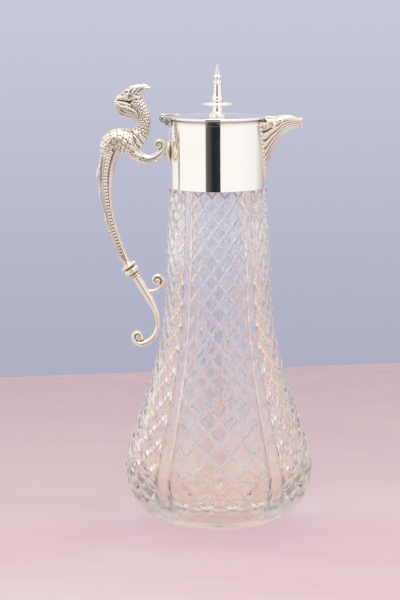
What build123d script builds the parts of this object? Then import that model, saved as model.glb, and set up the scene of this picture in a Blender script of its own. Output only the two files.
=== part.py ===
import os

from build123d import *

# Claret jug: cut glass body, plated collar, hinged lid, fluted spout and griffin handle.
# Millimetres. +Z is up, the spout points to +X and the handle to -X.
# The origin is the centre of the flat base.

# ---- glass ----
base_radius = 34.0          # flat disc that the jug stands on
belly_radius = 63.0
belly_height = 33.0         # height of the widest point, where the rounded heel ends
flank = [(59.8, 50.0), (50.8, 78.0), (42.6, 106.0), (37.3, 133.0), (34.2, 173.0)]   # radius, height
shoulder_height = 221.5     # flat ledge that the collar sits on
shoulder_ledge = 1.6        # how far the ledge stands out of the collar
neck_length = 28.5          # glass neck inside the collar
glass_wall = 4.6
glass_floor = 11.0

# ---- collar ----
collar_radius = 30.7        # outside of the sheet sleeve
collar_wall = 0.9
collar_height = 44.2
plaster_bed = 2.6           # thickness of the plaster around the neck
rim_depth = 2.5             # height of the rolled rim
rim_overhang = 1.0          # how far the rim stands out of the sleeve
rim_inset = 1.1             # and how far in from its outside
rim_round = 0.8
pour_hole_width = 18.0
pour_hole_height = 9.0
pour_hole_drop = 4.2        # from the rim's top to the hole's top
pour_hole_round = 2.0

# ---- lid ----
lid_gap = 0.3               # air between the rim and the lid
lid_inset = 0.2             # how far the lid's edge stays inside the rim's
lid_thickness = 1.3
lid_edge_depth = 2.3        # thickened edge of the lid
lid_edge_width = 2.3
lid_chamfer = 0.5
bezel_clearance = 1.4       # between the bezel and the rim
bezel_wall = 1.1
bezel_depth = 3.6
bezel_chamfer = 0.3

# ---- hinge ----
hinge_reach = 3.9           # from the rim's edge out to the pin
hinge_rise = 1.3            # from the rim's top up to the pin
knuckle_radius = 2.4
pin_radius = 0.9
pin_clearance = 0.05
pin_head_radius = 1.5
pin_head = 0.8
knuckle_gap = 0.3           # air between the ears and the lid's knuckle
centre_knuckle = 6.0        # length of the lid's knuckle
ear_width = 3.6
web_depth = 1.6             # web that joins the ears, under the rim
strap_drop = 14.4           # foot of the bracket's strap, below the rim's top
strap_stand = 0.6           # thickness of that strap at its foot
strap_half_width = 4.5
leaf_reach = 8.6            # reach of the lid's hinge leaf over the lid
leaf_thickness = 1.1
leaf_end = (3.2, 2.5)       # half length and half width of its oval end

# ---- finial, heights from the lid's flat top ----
stud_radius = 1.3
stud_clearance = 0.1
stud_below = 7.9
stud_above = 16.7
washer_radius = 5.0
washer_thickness = 0.9
nut_radius = 3.4
nut_height = 2.6
ring_radius = 5.7
ring_height = 2.1
foot_low_radius = 4.4
foot_radius = 3.5
foot_height = 7.1
disc_radius = 10.5
disc_height = 9.9
# radius, height above the disc
spire = [(3.0, 0.0), (3.1, 0.8), (3.75, 1.8), (3.4, 2.8), (2.6, 8.3), (2.35, 11.6), (3.0, 11.9), (3.2, 12.7),
         (2.4, 13.5), (1.3, 14.2), (1.6, 15.1), (2.9, 15.7), (2.8, 16.9), (1.0, 17.6), (1.3, 18.2), (0.9, 20.8),
         (0.4, 23.6)]

# ---- spout: reach out of the collar, half width, rise of its top above the rim, depth ----
spout = [
    (-6.7, 16.6, -0.8, 42.0),
    (0.0, 15.0, -0.3, 36.4),
    (3.9, 13.0, 0.9, 27.0),
    (7.7, 10.9, 1.6, 19.6),
    (11.5, 8.6, 2.3, 13.6),
    (15.7, 6.4, 2.5, 10.1),
    (19.7, 4.3, 1.3, 7.6),
    (23.9, 1.6, -2.1, 4.6),
]
spout_wall = 1.2
spout_edge = 0.3            # upright edge at the top of the shell
spout_clear_above = 6.0     # the trough is open above
lip_depth = 3.6
lip_stand = 1.0             # how far the lip stands out of the shell
lip_cap = 1.0               # how far it covers the shell's top edge
border_stand = 2.6          # how far the border strip stands out of the collar
border_band = 3.0           # width of the strip outside the shell's join
border_inner = 0.6          # and inside it

# ---- handle: along each limb, reach out of the collar, rise above the rim, half width, half depth ----
bracket_half_depth = 6.0
bracket = [(-1.7, -14.5), (1.7, -14.5), (4.1, -15.3), (3.5, -19.3), (4.9, -24.3), (2.7, -25.3), (0.7, -27.8),
           (-1.7, -27.8)]
arm = [
    (25.3, -20.3, 4.0, 4.4),
    (22.3, -22.7, 3.9, 4.2),
    (17.9, -24.9, 3.2, 3.8),
    (13.3, -25.7, 2.8, 3.6),
    (9.2, -24.4, 2.7, 3.4),
    (6.5, -21.5, 2.3, 3.2),
    (5.6, -18.1, 1.8, 3.0),
]
arm_volute = (7.2, -16.8, 2.5, 3.6)
body = [
    (43.5, -14.5, 1.2, 1.6),
    (40.9, -13.5, 4.0, 4.6),
    (35.8, -13.3, 6.6, 6.8),
    (29.9, -14.7, 8.3, 7.6),
    (24.3, -15.9, 6.9, 6.6),
    (20.3, -16.1, 2.8, 3.2),
]
neck = [
    (24.5, -15.3, 5.4, 5.2),
    (19.9, -10.1, 5.2, 4.8),
    (17.3, -3.7, 4.5, 4.3),
    (17.3, 2.9, 4.4, 4.2),
    (19.9, 8.5, 4.4, 4.3),
    (23.7, 11.9, 4.2, 4.4),
]
head = [
    (20.3, 14.5, 3.6, 4.0),
    (23.7, 15.2, 5.0, 5.2),
    (27.9, 15.3, 4.4, 5.0),
    (31.7, 14.5, 2.8, 3.2),
    (34.9, 12.9, 0.9, 1.2),
]
ear = [
    (25.3, 18.3, 1.8, 1.6),
    (20.9, 20.3, 2.4, 2.0),
    (16.5, 20.7, 1.8, 1.6),
    (12.5, 20.3, 0.6, 0.7),
]
ear_spread = 2.7
mane = [
    (35.5, 10.9, 0.9, 1.2),
    (32.7, 7.7, 2.8, 3.2),
    (28.9, 5.5, 3.6, 4.4),
    (24.7, 4.9, 3.4, 4.6),
    (21.3, 5.7, 2.6, 4.6),
]
shaft = [
    (35.7, -16.7, 5.0, 4.6),
    (39.9, -26.7, 4.7, 4.4),
    (41.5, -35.7, 4.3, 4.2),
    (41.6, -46.7, 3.4, 4.0),
    (40.3, -58.7, 2.6, 3.8),
    (37.7, -70.7, 2.5, 3.6),
    (33.9, -82.7, 2.5, 3.4),
    (29.6, -94.2, 2.6, 3.2),
]
bead_radius = 1.2
bead_stand = 0.5            # how far the bead rows stand out of the grip
leaf = [
    (42.7, -16.5, 0.9, 2.4),
    (44.7, -23.7, 1.3, 3.0),
    (46.3, -31.7, 1.6, 3.4),
    (46.7, -37.7, 1.4, 3.0),
    (46.6, -41.9, 0.5, 1.2),
]
rail = [
    (46.6, -41.9, 0.6, 1.2),
    (45.7, -51.7, 0.8, 1.4),
    (43.8, -59.7, 0.8, 1.4),
    (41.7, -66.7, 1.3, 2.4),
    (39.5, -73.7, 1.1, 2.0),
    (37.1, -81.2, 0.8, 1.4),
    (32.7, -93.1, 0.8, 1.4),
]
# ferrule: radius, distance along it from the grip; it ends at the tail's first point
ferrule = [(3.3, 0.0), (5.2, 0.8), (5.2, 2.0), (3.7, 3.0), (5.3, 5.6), (3.7, 8.2), (3.9, 9.2), (3.7, 11.0)]
ferrule_end_radius = 3.1
tail = [
    (22.6, -104.6, 2.9, 3.0),
    (19.5, -109.8, 3.0, 3.0),
    (16.0, -115.9, 2.8, 2.9),
    (12.5, -122.5, 2.3, 2.8),
    (10.3, -128.3, 1.8, 2.6),
    (9.5, -133.9, 1.5, 2.6),
    (10.0, -138.9, 1.6, 2.6),
    (12.3, -143.9, 1.9, 2.8),
    (16.3, -147.4, 2.2, 3.0),
    (20.9, -148.3, 2.2, 3.0),
]
tail_volute = (22.2, -145.5, 5.0, 3.8)
branch = [
    (15.7, -112.7, 1.4, 2.4),
    (12.5, -112.8, 1.3, 2.4),
    (9.3, -111.7, 1.4, 2.4),
    (6.9, -109.1, 1.5, 2.4),
]
branch_volute = (9.3, -106.1, 4.0, 3.2)
volute_round = 0.6

# ---- worked out from the sizes above ----
shoulder_radius = collar_radius + shoulder_ledge
neck_radius = collar_radius - collar_wall - plaster_bed
glass_top = shoulder_height + neck_length
rim_top = shoulder_height + collar_height
sleeve_top = rim_top - rim_depth
rim_outer = collar_radius + rim_overhang
rim_inner = collar_radius - rim_inset
lid_low = rim_top + lid_gap
lid_top = lid_low + lid_thickness
lid_edge_top = lid_low + lid_edge_depth
lid_radius = rim_outer - lid_inset
bezel_radius = rim_inner - bezel_clearance
hinge_x = -rim_outer - hinge_reach
hinge_z = rim_top + hinge_rise
ear_start = centre_knuckle / 2 + knuckle_gap
ear_end = ear_start + ear_width
ear_inner = -rim_outer - lid_gap
web_low = sleeve_top - web_depth
stud_hole = stud_radius + stud_clearance
foot_top = lid_top + foot_height
disc_top = lid_top + disc_height
os.makedirs("parts", exist_ok=True)


def write(builder, label):
    builder.part.label = label
    export_step(builder.part, f"parts/{label}.step")


def handle_point(reach, rise):
    """X and Z of a point given by its reach out of the collar and its rise above the rim."""
    return -collar_radius - reach, rim_top + rise


def limb_sections(stations, side=0.0):
    """Ellipses square to a limb's path in the XZ plane, ready to loft."""
    points = [handle_point(reach, rise) for reach, rise, _, _ in stations]
    faces = []
    for i, (_, _, half_width, half_depth) in enumerate(stations):
        before = points[max(i - 1, 0)]
        after = points[min(i + 1, len(points) - 1)]
        square = Plane(origin=(points[i][0], side, points[i][1]), x_dir=(0, 1, 0),
                       z_dir=(after[0] - before[0], 0, after[1] - before[1]))
        with BuildSketch(square) as section:
            Ellipse(half_depth, half_width)
        faces.append(section.sketch.faces()[0])
    return faces


def shield(half, drop):
    """Points of the spout's pointed section, from one top corner to the other."""
    return [(-half, 0), (-0.82 * half, -0.4 * drop), (0, -drop), (0.82 * half, -0.4 * drop), (half, 0)]


def spout_plane(reach, rise):
    return Plane(origin=(collar_radius + reach, 0, rim_top + rise), x_dir=(0, 1, 0), z_dir=(1, 0, 0))


def spout_sections(inset, edge):
    """The spout's sections, drawn in by an inset, with an upright edge above."""
    faces = []
    for reach, half_width, rise, depth in spout:
        half = max(half_width - inset, 0.5)
        with BuildSketch(spout_plane(reach, rise)) as section:
            with BuildLine():
                Spline(*shield(half, max(depth - inset, 1.0)))
                Polyline((half, 0), (half, edge), (-half, edge), (-half, 0))
            make_face()
        faces.append(section.sketch.faces()[0])
    return faces


def lip_sections():
    """Rectangles that cap the top edge of the spout's shell."""
    faces = []
    for reach, half_width, rise, _ in spout[1:]:
        with BuildSketch(spout_plane(reach, rise + lip_cap - lip_depth / 2)) as section:
            Rectangle(2 * (half_width + lip_stand), lip_depth)
        faces.append(section.sketch.faces()[0])
    return faces


def volute(reach, rise, radius, half_depth):
    """Round end of a scroll, its axis along Y."""
    with BuildPart() as end:
        with BuildSketch(Plane.XZ):
            with Locations(handle_point(reach, rise)):
                Circle(radius)
        extrude(amount=half_depth, both=True)
        fillet(end.edges().filter_by(GeomType.CIRCLE), volute_round)
    return end.part


def rod(low, high, radius, hole=0.0):
    """Upright rod, disc or ring about Z."""
    with BuildPart() as piece:
        with BuildSketch(Plane.XY.offset(low)):
            Circle(radius)
            if hole:
                Circle(hole, mode=Mode.SUBTRACT)
        extrude(amount=high - low)
    return piece


# ---- glass body ----
bore = neck_radius - glass_wall
inner_belly = belly_height + glass_wall
with BuildPart() as glass_body:
    with BuildSketch(Plane.XZ):
        with BuildLine():
            Line((0, 0), (base_radius, 0))
            EllipticalCenterArc((base_radius, belly_height), belly_radius - base_radius, belly_height, -90,
                                arc_size=90)
            Spline((belly_radius, belly_height), *flank, (shoulder_radius, shoulder_height),
                   tangents=((0, 1), (0, 1)))
            Polyline((shoulder_radius, shoulder_height), (neck_radius, shoulder_height), (neck_radius, glass_top),
                     (bore, glass_top), (bore, shoulder_height))
            Spline((bore, shoulder_height), *[(r - glass_wall, z) for r, z in flank[::-1]],
                   (belly_radius - glass_wall, inner_belly), tangents=((0, -1), (0, -1)))
            EllipticalCenterArc((base_radius, inner_belly), belly_radius - glass_wall - base_radius,
                                inner_belly - glass_floor, 0, arc_size=-90)
            Polyline((base_radius, glass_floor), (0, glass_floor), (0, 0))
        make_face()
    revolve(axis=Axis.Z)
write(glass_body, "glass_body")

# ---- plaster bed between the neck and the collar ----
neck_plaster = rod(shoulder_height, glass_top, collar_radius - collar_wall, neck_radius)
write(neck_plaster, "neck_plaster")

# ---- collar sleeve with the pouring hole, and the rolled rim on it ----
with BuildPart() as collar_sleeve:
    add(rod(shoulder_height, sleeve_top, collar_radius, collar_radius - collar_wall).part)
    with BuildSketch(Plane.YZ):
        with Locations((0, rim_top - pour_hole_drop - pour_hole_height / 2)):
            RectangleRounded(pour_hole_width, pour_hole_height, pour_hole_round)
    extrude(amount=collar_radius + collar_wall, mode=Mode.SUBTRACT)
write(collar_sleeve, "collar_sleeve")

with BuildPart() as collar_rim:
    with BuildSketch(Plane.XZ):
        with Locations(((rim_outer + rim_inner) / 2, rim_top - rim_depth / 2)):
            RectangleRounded(rim_outer - rim_inner, rim_depth, rim_round)
    revolve(axis=Axis.Z)
write(collar_rim, "collar_rim")

# ---- spout: border strip on the collar, lofted trough, and hooked lip ----
sleeve_space = rod(0, sleeve_top, collar_radius).part
rim_space = rod(sleeve_top, sleeve_top + rim_depth + spout_clear_above, rim_outer + lid_gap).part
outer_sections = spout_sections(0.0, spout_edge)
inner_sections = spout_sections(spout_wall, spout_clear_above)
_, join_half, join_rise, join_depth = spout[1]
with BuildPart() as spout_border:
    for grow, mode in ((border_band, Mode.ADD), (-border_inner, Mode.SUBTRACT)):
        half = join_half + grow
        with BuildSketch(Plane(origin=(0, 0, sleeve_top), x_dir=(0, 1, 0), z_dir=(1, 0, 0))):
            with BuildLine():
                Spline(*shield(half, join_depth + join_rise - rim_depth + grow))
                Line((half, 0), (-half, 0))
            make_face()
        extrude(amount=collar_radius + 2 * border_stand, mode=mode)
    add(rod(0, sleeve_top, collar_radius + border_stand).part, mode=Mode.INTERSECT)
    add(sleeve_space, mode=Mode.SUBTRACT)
write(spout_border, "spout_border")

with BuildPart() as spout_shell:
    loft(sections=outer_sections)
    loft(sections=inner_sections, mode=Mode.SUBTRACT)
    for space in (sleeve_space, rim_space, spout_border.part):
        add(space, mode=Mode.SUBTRACT)
write(spout_shell, "spout_shell")

with BuildPart() as spout_lip:
    loft(sections=lip_sections())
    loft(sections=outer_sections, mode=Mode.SUBTRACT)
    loft(sections=inner_sections[:-1], mode=Mode.SUBTRACT)
    for space in (sleeve_space, rim_space, spout_border.part):
        add(space, mode=Mode.SUBTRACT)
write(spout_lip, "spout_lip")

# ---- lid ----
with BuildPart() as lid_plate:
    with BuildSketch(Plane.XZ):
        with BuildLine():
            Polyline((stud_hole, lid_low), (lid_radius - lid_chamfer, lid_low), (lid_radius, lid_low + lid_chamfer),
                     (lid_radius, lid_edge_top - lid_chamfer), (lid_radius - lid_chamfer, lid_edge_top),
                     (lid_radius - lid_edge_width + lid_chamfer, lid_edge_top), (lid_radius - lid_edge_width, lid_top),
                     (stud_hole, lid_top), close=True)
        make_face()
    revolve(axis=Axis.Z)
write(lid_plate, "lid_plate")

with BuildPart() as lid_bezel:
    add(rod(lid_low - bezel_depth, lid_low, bezel_radius, bezel_radius - bezel_wall).part)
    chamfer(lid_bezel.edges().group_by(Axis.Z)[0], bezel_chamfer)
write(lid_bezel, "lid_bezel")


def hinge_disc(radius, half_length):
    """Cylinder on the hinge's axis."""
    with BuildPart() as piece:
        with BuildSketch(Plane.XZ):
            with Locations((hinge_x, hinge_z)):
                Circle(radius)
        extrude(amount=half_length, both=True)
    return piece.part


# ---- hinge: two ears on the collar, a knuckle on the lid, and the pin ----
with BuildPart() as hinge_bracket:
    add(hinge_disc(knuckle_radius, ear_end))
    with BuildSketch(Plane.XZ):
        with BuildLine():
            Polyline((hinge_x - knuckle_radius, hinge_z), (hinge_x - knuckle_radius, web_low), (ear_inner, web_low),
                     (ear_inner, hinge_z), close=True)
        make_face()
    extrude(amount=ear_end, both=True)
    add(hinge_disc(knuckle_radius + knuckle_gap, ear_start), mode=Mode.SUBTRACT)
    with BuildSketch(Plane.XZ):
        with Locations((hinge_x, hinge_z + knuckle_radius)):
            Rectangle(4 * knuckle_radius, 2 * knuckle_radius)
    extrude(amount=ear_start, both=True, mode=Mode.SUBTRACT)
    with BuildSketch(Plane.XZ):
        with BuildLine():
            Polyline((ear_inner - web_depth, sleeve_top), (1 - collar_radius, sleeve_top),
                     (1 - collar_radius, rim_top - strap_drop), (-collar_radius - strap_stand, rim_top - strap_drop),
                     (ear_inner - web_depth, web_low - web_depth), close=True)
        make_face()
    extrude(amount=strap_half_width, both=True)
    add(sleeve_space, mode=Mode.SUBTRACT)
    add(rod(sleeve_top, rim_top, rim_outer).part, mode=Mode.SUBTRACT)
    add(hinge_disc(pin_radius, ear_end), mode=Mode.SUBTRACT)
write(hinge_bracket, "hinge_bracket")

with BuildPart() as hinge_pin:
    add(hinge_disc(pin_radius, ear_end))
    for side in (-1, 1):
        with BuildSketch(Plane.XZ.offset(side * ear_end)):
            with Locations((hinge_x, hinge_z)):
                Circle(pin_head_radius)
        extrude(amount=side * pin_head)
write(hinge_pin, "hinge_pin")

with BuildPart() as lid_hinge_leaf:
    add(hinge_disc(knuckle_radius, centre_knuckle / 2))
    with BuildSketch(Plane.XZ):
        with BuildLine():
            Polyline((hinge_x, hinge_z), (hinge_x + leaf_reach, lid_edge_top),
                     (hinge_x + leaf_reach, lid_edge_top + leaf_thickness), (hinge_x, hinge_z + knuckle_radius),
                     close=True)
        make_face()
    extrude(amount=leaf_end[1], both=True)
    add(rod(rim_top, lid_edge_top, lid_radius).part, mode=Mode.SUBTRACT)
    with BuildSketch(Plane.XY.offset(lid_edge_top)):
        with Locations((hinge_x + leaf_reach, 0)):
            Ellipse(*leaf_end)
    extrude(amount=leaf_thickness)
    add(hinge_disc(pin_radius + pin_clearance, centre_knuckle), mode=Mode.SUBTRACT)
write(lid_hinge_leaf, "lid_hinge_leaf")


def turned(profile):
    """Piece turned about Z from a closed outline of radius and height."""
    with BuildPart() as piece:
        with BuildSketch(Plane.XZ):
            with BuildLine():
                Polyline(*profile, close=True)
            make_face()
        revolve(axis=Axis.Z)
    return piece


# ---- finial, threaded on a stud through the lid ----
ring_top = lid_top + ring_height
finial_ring = turned([(stud_hole, lid_top), (ring_radius - 0.5, lid_top), (ring_radius, lid_top + 0.9),
                      (ring_radius, ring_top - 0.4), (ring_radius - 0.6, ring_top), (stud_hole, ring_top)])
write(finial_ring, "finial_ring")

finial_foot = turned([(stud_hole, ring_top), (foot_low_radius, ring_top), (foot_radius + 0.2, ring_top + 2.4),
                      (foot_radius, foot_top), (stud_hole, foot_top)])
write(finial_foot, "finial_foot")

finial_disc = turned([(stud_hole, foot_top), (foot_radius, foot_top), (disc_radius - 0.6, disc_top - 1.3),
                      (disc_radius, disc_top - 0.8), (disc_radius - 0.4, disc_top - 0.4),
                      (foot_radius + 0.5, disc_top), (stud_hole, disc_top)])
write(finial_disc, "finial_disc")

socket_top = lid_top + stud_above + stud_clearance
finial_spire = turned([(0, socket_top), (stud_hole, socket_top), (stud_hole, disc_top),
                       *[(r, disc_top + z) for r, z in spire], (0, disc_top + spire[-1][1])])
write(finial_spire, "finial_spire")

finial_stud = rod(lid_top - stud_below, lid_top + stud_above, stud_radius)
write(finial_stud, "finial_stud")

finial_washer = rod(lid_low - washer_thickness, lid_low, washer_radius, stud_hole)
write(finial_washer, "finial_washer")

with BuildPart() as finial_nut:
    with BuildSketch(Plane.XY.offset(lid_low - washer_thickness - nut_height)):
        RegularPolygon(nut_radius, 6)
        Circle(stud_radius, mode=Mode.SUBTRACT)
    extrude(amount=nut_height)
write(finial_nut, "finial_nut")

# ---- handle: each casting is cut to the one that it is soldered on ----
with BuildPart() as handle_bracket:
    with BuildSketch(Plane.XZ):
        with BuildLine():
            Polyline(*[handle_point(*point) for point in bracket], close=True)
        make_face()
    extrude(amount=bracket_half_depth, both=True)
    add(sleeve_space, mode=Mode.SUBTRACT)
write(handle_bracket, "handle_bracket")

with BuildPart() as griffin_body:
    loft(sections=limb_sections(body))
write(griffin_body, "griffin_body")

with BuildPart() as handle_arm:
    loft(sections=limb_sections(arm))
    add(volute(*arm_volute))
    add(handle_bracket.part, mode=Mode.SUBTRACT)
    add(griffin_body.part, mode=Mode.SUBTRACT)
write(handle_arm, "handle_arm")

with BuildPart() as griffin_neck:
    loft(sections=limb_sections(neck))
    add(griffin_body.part, mode=Mode.SUBTRACT)
write(griffin_neck, "griffin_neck")

with BuildPart() as griffin_head:
    loft(sections=limb_sections(head))
    add(griffin_neck.part, mode=Mode.SUBTRACT)
write(griffin_head, "griffin_head")

with BuildPart() as griffin_ears:
    for side in (-1, 1):
        loft(sections=limb_sections(ear, side * ear_spread))
    add(griffin_head.part, mode=Mode.SUBTRACT)
write(griffin_ears, "griffin_ears")

with BuildPart() as griffin_mane:
    loft(sections=limb_sections(mane))
    add(griffin_head.part, mode=Mode.SUBTRACT)
    add(griffin_neck.part, mode=Mode.SUBTRACT)
write(griffin_mane, "griffin_mane")

bead_path = [(reach, rise, bead_radius, bead_radius) for reach, rise, _, _ in shaft[1:-1]]
bead_side = shaft[1][3] + bead_stand - bead_radius
with BuildPart() as handle_beading:
    for side in (-1, 1):
        loft(sections=limb_sections(bead_path, side * bead_side))
write(handle_beading, "handle_beading")

ferrule_start = Vector(handle_point(*shaft[-1][:2])[0], 0, handle_point(*shaft[-1][:2])[1])
ferrule_end = Vector(handle_point(*tail[0][:2])[0], 0, handle_point(*tail[0][:2])[1])
ferrule_length = (ferrule_end - ferrule_start).length
ferrule_axis = Axis(ferrule_start, ferrule_end - ferrule_start)
across = Vector(ferrule_axis.direction.Z, 0, -ferrule_axis.direction.X)
with BuildPart() as handle_ferrule:
    with BuildSketch(Plane(origin=ferrule_start, x_dir=across, z_dir=across.cross(ferrule_axis.direction))):
        with BuildLine():
            Polyline((0, 0), *ferrule, (ferrule_end_radius, ferrule_length), (0, ferrule_length), close=True)
        make_face()
    revolve(axis=ferrule_axis)
write(handle_ferrule, "handle_ferrule")

with BuildPart() as handle_shaft:
    loft(sections=limb_sections(shaft))
    for neighbour in (griffin_body, handle_beading, handle_ferrule):
        add(neighbour.part, mode=Mode.SUBTRACT)
write(handle_shaft, "handle_shaft")

with BuildPart() as wing_leaf:
    loft(sections=limb_sections(leaf))
    for neighbour in (griffin_body, handle_shaft):
        add(neighbour.part, mode=Mode.SUBTRACT)
write(wing_leaf, "wing_leaf")

with BuildPart() as outer_rail:
    loft(sections=limb_sections(rail))
    for neighbour in (handle_shaft, handle_ferrule, wing_leaf):
        add(neighbour.part, mode=Mode.SUBTRACT)
write(outer_rail, "outer_rail")

with BuildPart() as tail_scroll:
    loft(sections=limb_sections(tail))
    add(volute(*tail_volute))
    add(handle_ferrule.part, mode=Mode.SUBTRACT)
write(tail_scroll, "tail_scroll")

with BuildPart() as tail_branch:
    loft(sections=limb_sections(branch))
    add(volute(*branch_volute))
    add(tail_scroll.part, mode=Mode.SUBTRACT)
write(tail_branch, "tail_branch")
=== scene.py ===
import math

import bmesh
import bpy
import numpy as np
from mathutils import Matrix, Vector


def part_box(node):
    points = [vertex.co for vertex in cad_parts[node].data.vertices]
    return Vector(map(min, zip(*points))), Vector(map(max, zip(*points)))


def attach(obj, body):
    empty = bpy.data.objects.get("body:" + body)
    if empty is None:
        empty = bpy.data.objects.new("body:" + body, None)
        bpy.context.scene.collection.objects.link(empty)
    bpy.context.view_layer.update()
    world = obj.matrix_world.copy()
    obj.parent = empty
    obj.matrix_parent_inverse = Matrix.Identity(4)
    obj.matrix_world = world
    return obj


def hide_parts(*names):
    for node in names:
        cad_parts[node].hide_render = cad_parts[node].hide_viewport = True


# Cut-glass claret jug with silver-plated mounts. Metres; the spout points to +X and the handle to -X.
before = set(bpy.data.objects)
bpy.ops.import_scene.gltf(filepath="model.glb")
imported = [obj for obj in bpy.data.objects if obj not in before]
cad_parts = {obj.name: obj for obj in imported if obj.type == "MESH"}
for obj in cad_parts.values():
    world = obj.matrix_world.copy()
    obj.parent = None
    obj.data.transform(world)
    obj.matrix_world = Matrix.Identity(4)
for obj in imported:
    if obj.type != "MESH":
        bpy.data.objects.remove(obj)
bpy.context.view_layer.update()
scene = bpy.context.scene
mm = 0.001
collarLow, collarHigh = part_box("collar_sleeve")
rimLow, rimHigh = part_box("collar_rim")
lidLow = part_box("lid_plate")[0]
pinLow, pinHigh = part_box("hinge_pin")
collarRadius = collarHigh.y / mm
rimRadius = rimHigh.y / mm
rimTop = rimHigh.z / mm
shoulderHeight = collarLow.z / mm


# small workshop helpers
def feed(tree, node, sockets):
    # links a socket, or sets it when it is given a plain value
    for name, value in sockets.items():
        if isinstance(value, bpy.types.NodeSocket):
            tree.links.new(value, node.inputs[name])
        else:
            node.inputs[name].default_value = value


def put(tree, kind, sockets=None, **settings):
    node = tree.nodes.new(kind)
    for name, value in settings.items():
        setattr(node, name, value)
    feed(tree, node, sockets or {})
    return node


def splitUp(tree, vector):
    return put(tree, "ShaderNodeSeparateXYZ", {"Vector": vector}).outputs


def vectorOf(tree, **axes):
    return put(tree, "ShaderNodeCombineXYZ", axes).outputs[0]


def circle(count):
    # cosine and sine of equal steps round a turn
    return [(math.cos(2 * math.pi * k / count), math.sin(2 * math.pi * k / count)) for k in range(count)]


def markPoints(piece, name, values):
    piece.data.attributes.new(name, "FLOAT", "POINT").data.foreach_set("value", values)


def addPiece(name, data):
    piece = bpy.data.objects.new(name, data)
    scene.collection.objects.link(piece)
    return piece


def meshPiece(name, points, faces):
    mesh = bpy.data.meshes.new(name)
    mesh.from_pydata([tuple(point) for point in points], [], faces)
    mesh.validate()
    return addPiece(name, mesh)


def seal(piece, mergeBy=0.002, crease=35.0):
    # closes seams and poles, turns faces outward, and keeps corners crisp
    work = bmesh.new()
    work.from_mesh(piece.data)
    bmesh.ops.remove_doubles(work, verts=work.verts, dist=mergeBy * mm)
    bmesh.ops.dissolve_degenerate(work, edges=work.edges, dist=0.0005 * mm)
    bmesh.ops.recalc_face_normals(work, faces=work.faces)
    work.to_mesh(piece.data)
    work.free()
    piece.data.shade_smooth()
    piece.data.set_sharp_from_angle(angle=math.radians(crease))
    return piece


def settle(piece):
    # turns live modifiers into plain mesh
    depsgraph = bpy.context.evaluated_depsgraph_get()
    mesh = bpy.data.meshes.new_from_object(piece.evaluated_get(depsgraph))
    mesh.name = piece.name
    piece.modifiers.clear()
    piece.data = mesh
    return piece


def skin(rings, loop=False, start=0):
    # faces between rings of points; a ring of one point is a pole
    points, faces, starts = [], [], []
    for ring in rings:
        starts.append(start + len(points))
        points.extend(ring)
    pairs = [(i, i + 1) for i in range(len(rings) - 1)]
    if loop:
        pairs.append((len(rings) - 1, 0))
    for a, b in pairs:
        count = max(len(rings[a]), len(rings[b]))
        for i in range(count):
            j = (i + 1) % count
            if len(rings[a]) == 1:
                faces.append((starts[a], starts[b] + j, starts[b] + i))
            elif len(rings[b]) == 1:
                faces.append((starts[a] + i, starts[a] + j, starts[b]))
            else:
                faces.append((starts[a] + i, starts[a] + j, starts[b] + j, starts[b] + i))
    return points, faces


def skinAll(name, shells):
    points, faces = [], []
    for rings in shells:
        morePoints, moreFaces = skin(rings, start=len(points))
        points.extend(morePoints)
        faces.extend(moreFaces)
    return meshPiece(name, points, faces)


def eased(outline, cut, steps=4, loop=True):
    # rounds the corners of an outline
    result = []
    for i, point in enumerate(outline):
        here = Vector(point)
        if not loop and i in (0, len(outline) - 1):
            result.append(here)
            continue
        before, after = Vector(outline[i - 1]), Vector(outline[(i + 1) % len(outline)])
        first = here + (before - here).normalized() * min(cut, 0.45 * (before - here).length)
        last = here + (after - here).normalized() * min(cut, 0.45 * (after - here).length)
        for k in range(steps + 1):
            t = k / steps
            result.append(first * (1 - t) ** 2 + here * 2 * t * (1 - t) + last * t * t)
    return result


def turned(name, outline, loop=True, steps=192, at=(0.0, 0.0), along="Z"):
    # spun on the lathe from (radius, height) in mm; along Y it is centred on (x, z)
    rings = []
    for radius, height in outline:
        ring = [(at[0] + radius * c, at[1] + radius * s) for c, s in circle(steps)]
        if radius < 1e-6:
            ring = ring[:1]
        rings.append([Vector((a, b, height) if along == "Z" else (a, height, b)) * mm for a, b in ring])
    points, faces = skin(rings, loop)
    return seal(meshPiece(name, points, faces))


def shadeBesideJoint(piece, height, reach):
    # darkens a spun piece beside a joint at this height: painted shadow where the lid's edge overhangs the
    # rim
    markPoints(piece, "recess",
               [max(0.0, 1.0 - abs(v.co.z / mm - height) / reach) for v in piece.data.vertices])


def through(stations, per):
    # smooth rows through the stations of a limb
    rows = np.array(stations, float)
    padded = np.vstack([2 * rows[0] - rows[1], rows, 2 * rows[-1] - rows[-2]])
    result = []
    for i in range(len(rows) - 1):
        p0, p1, p2, p3 = padded[i:i + 4]
        for k in range(per):
            t = k / per
            result.append(0.5 * (2 * p1 + (p2 - p0) * t + (2 * p0 - 5 * p1 + 4 * p2 - p3) * t * t
                                 + (3 * p1 - p0 - 3 * p2 + p3) * t ** 3))
    result.append(rows[-1])
    result = np.array(result)
    result[:, 2:] = np.maximum(result[:, 2:], 0.12)
    return result


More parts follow.
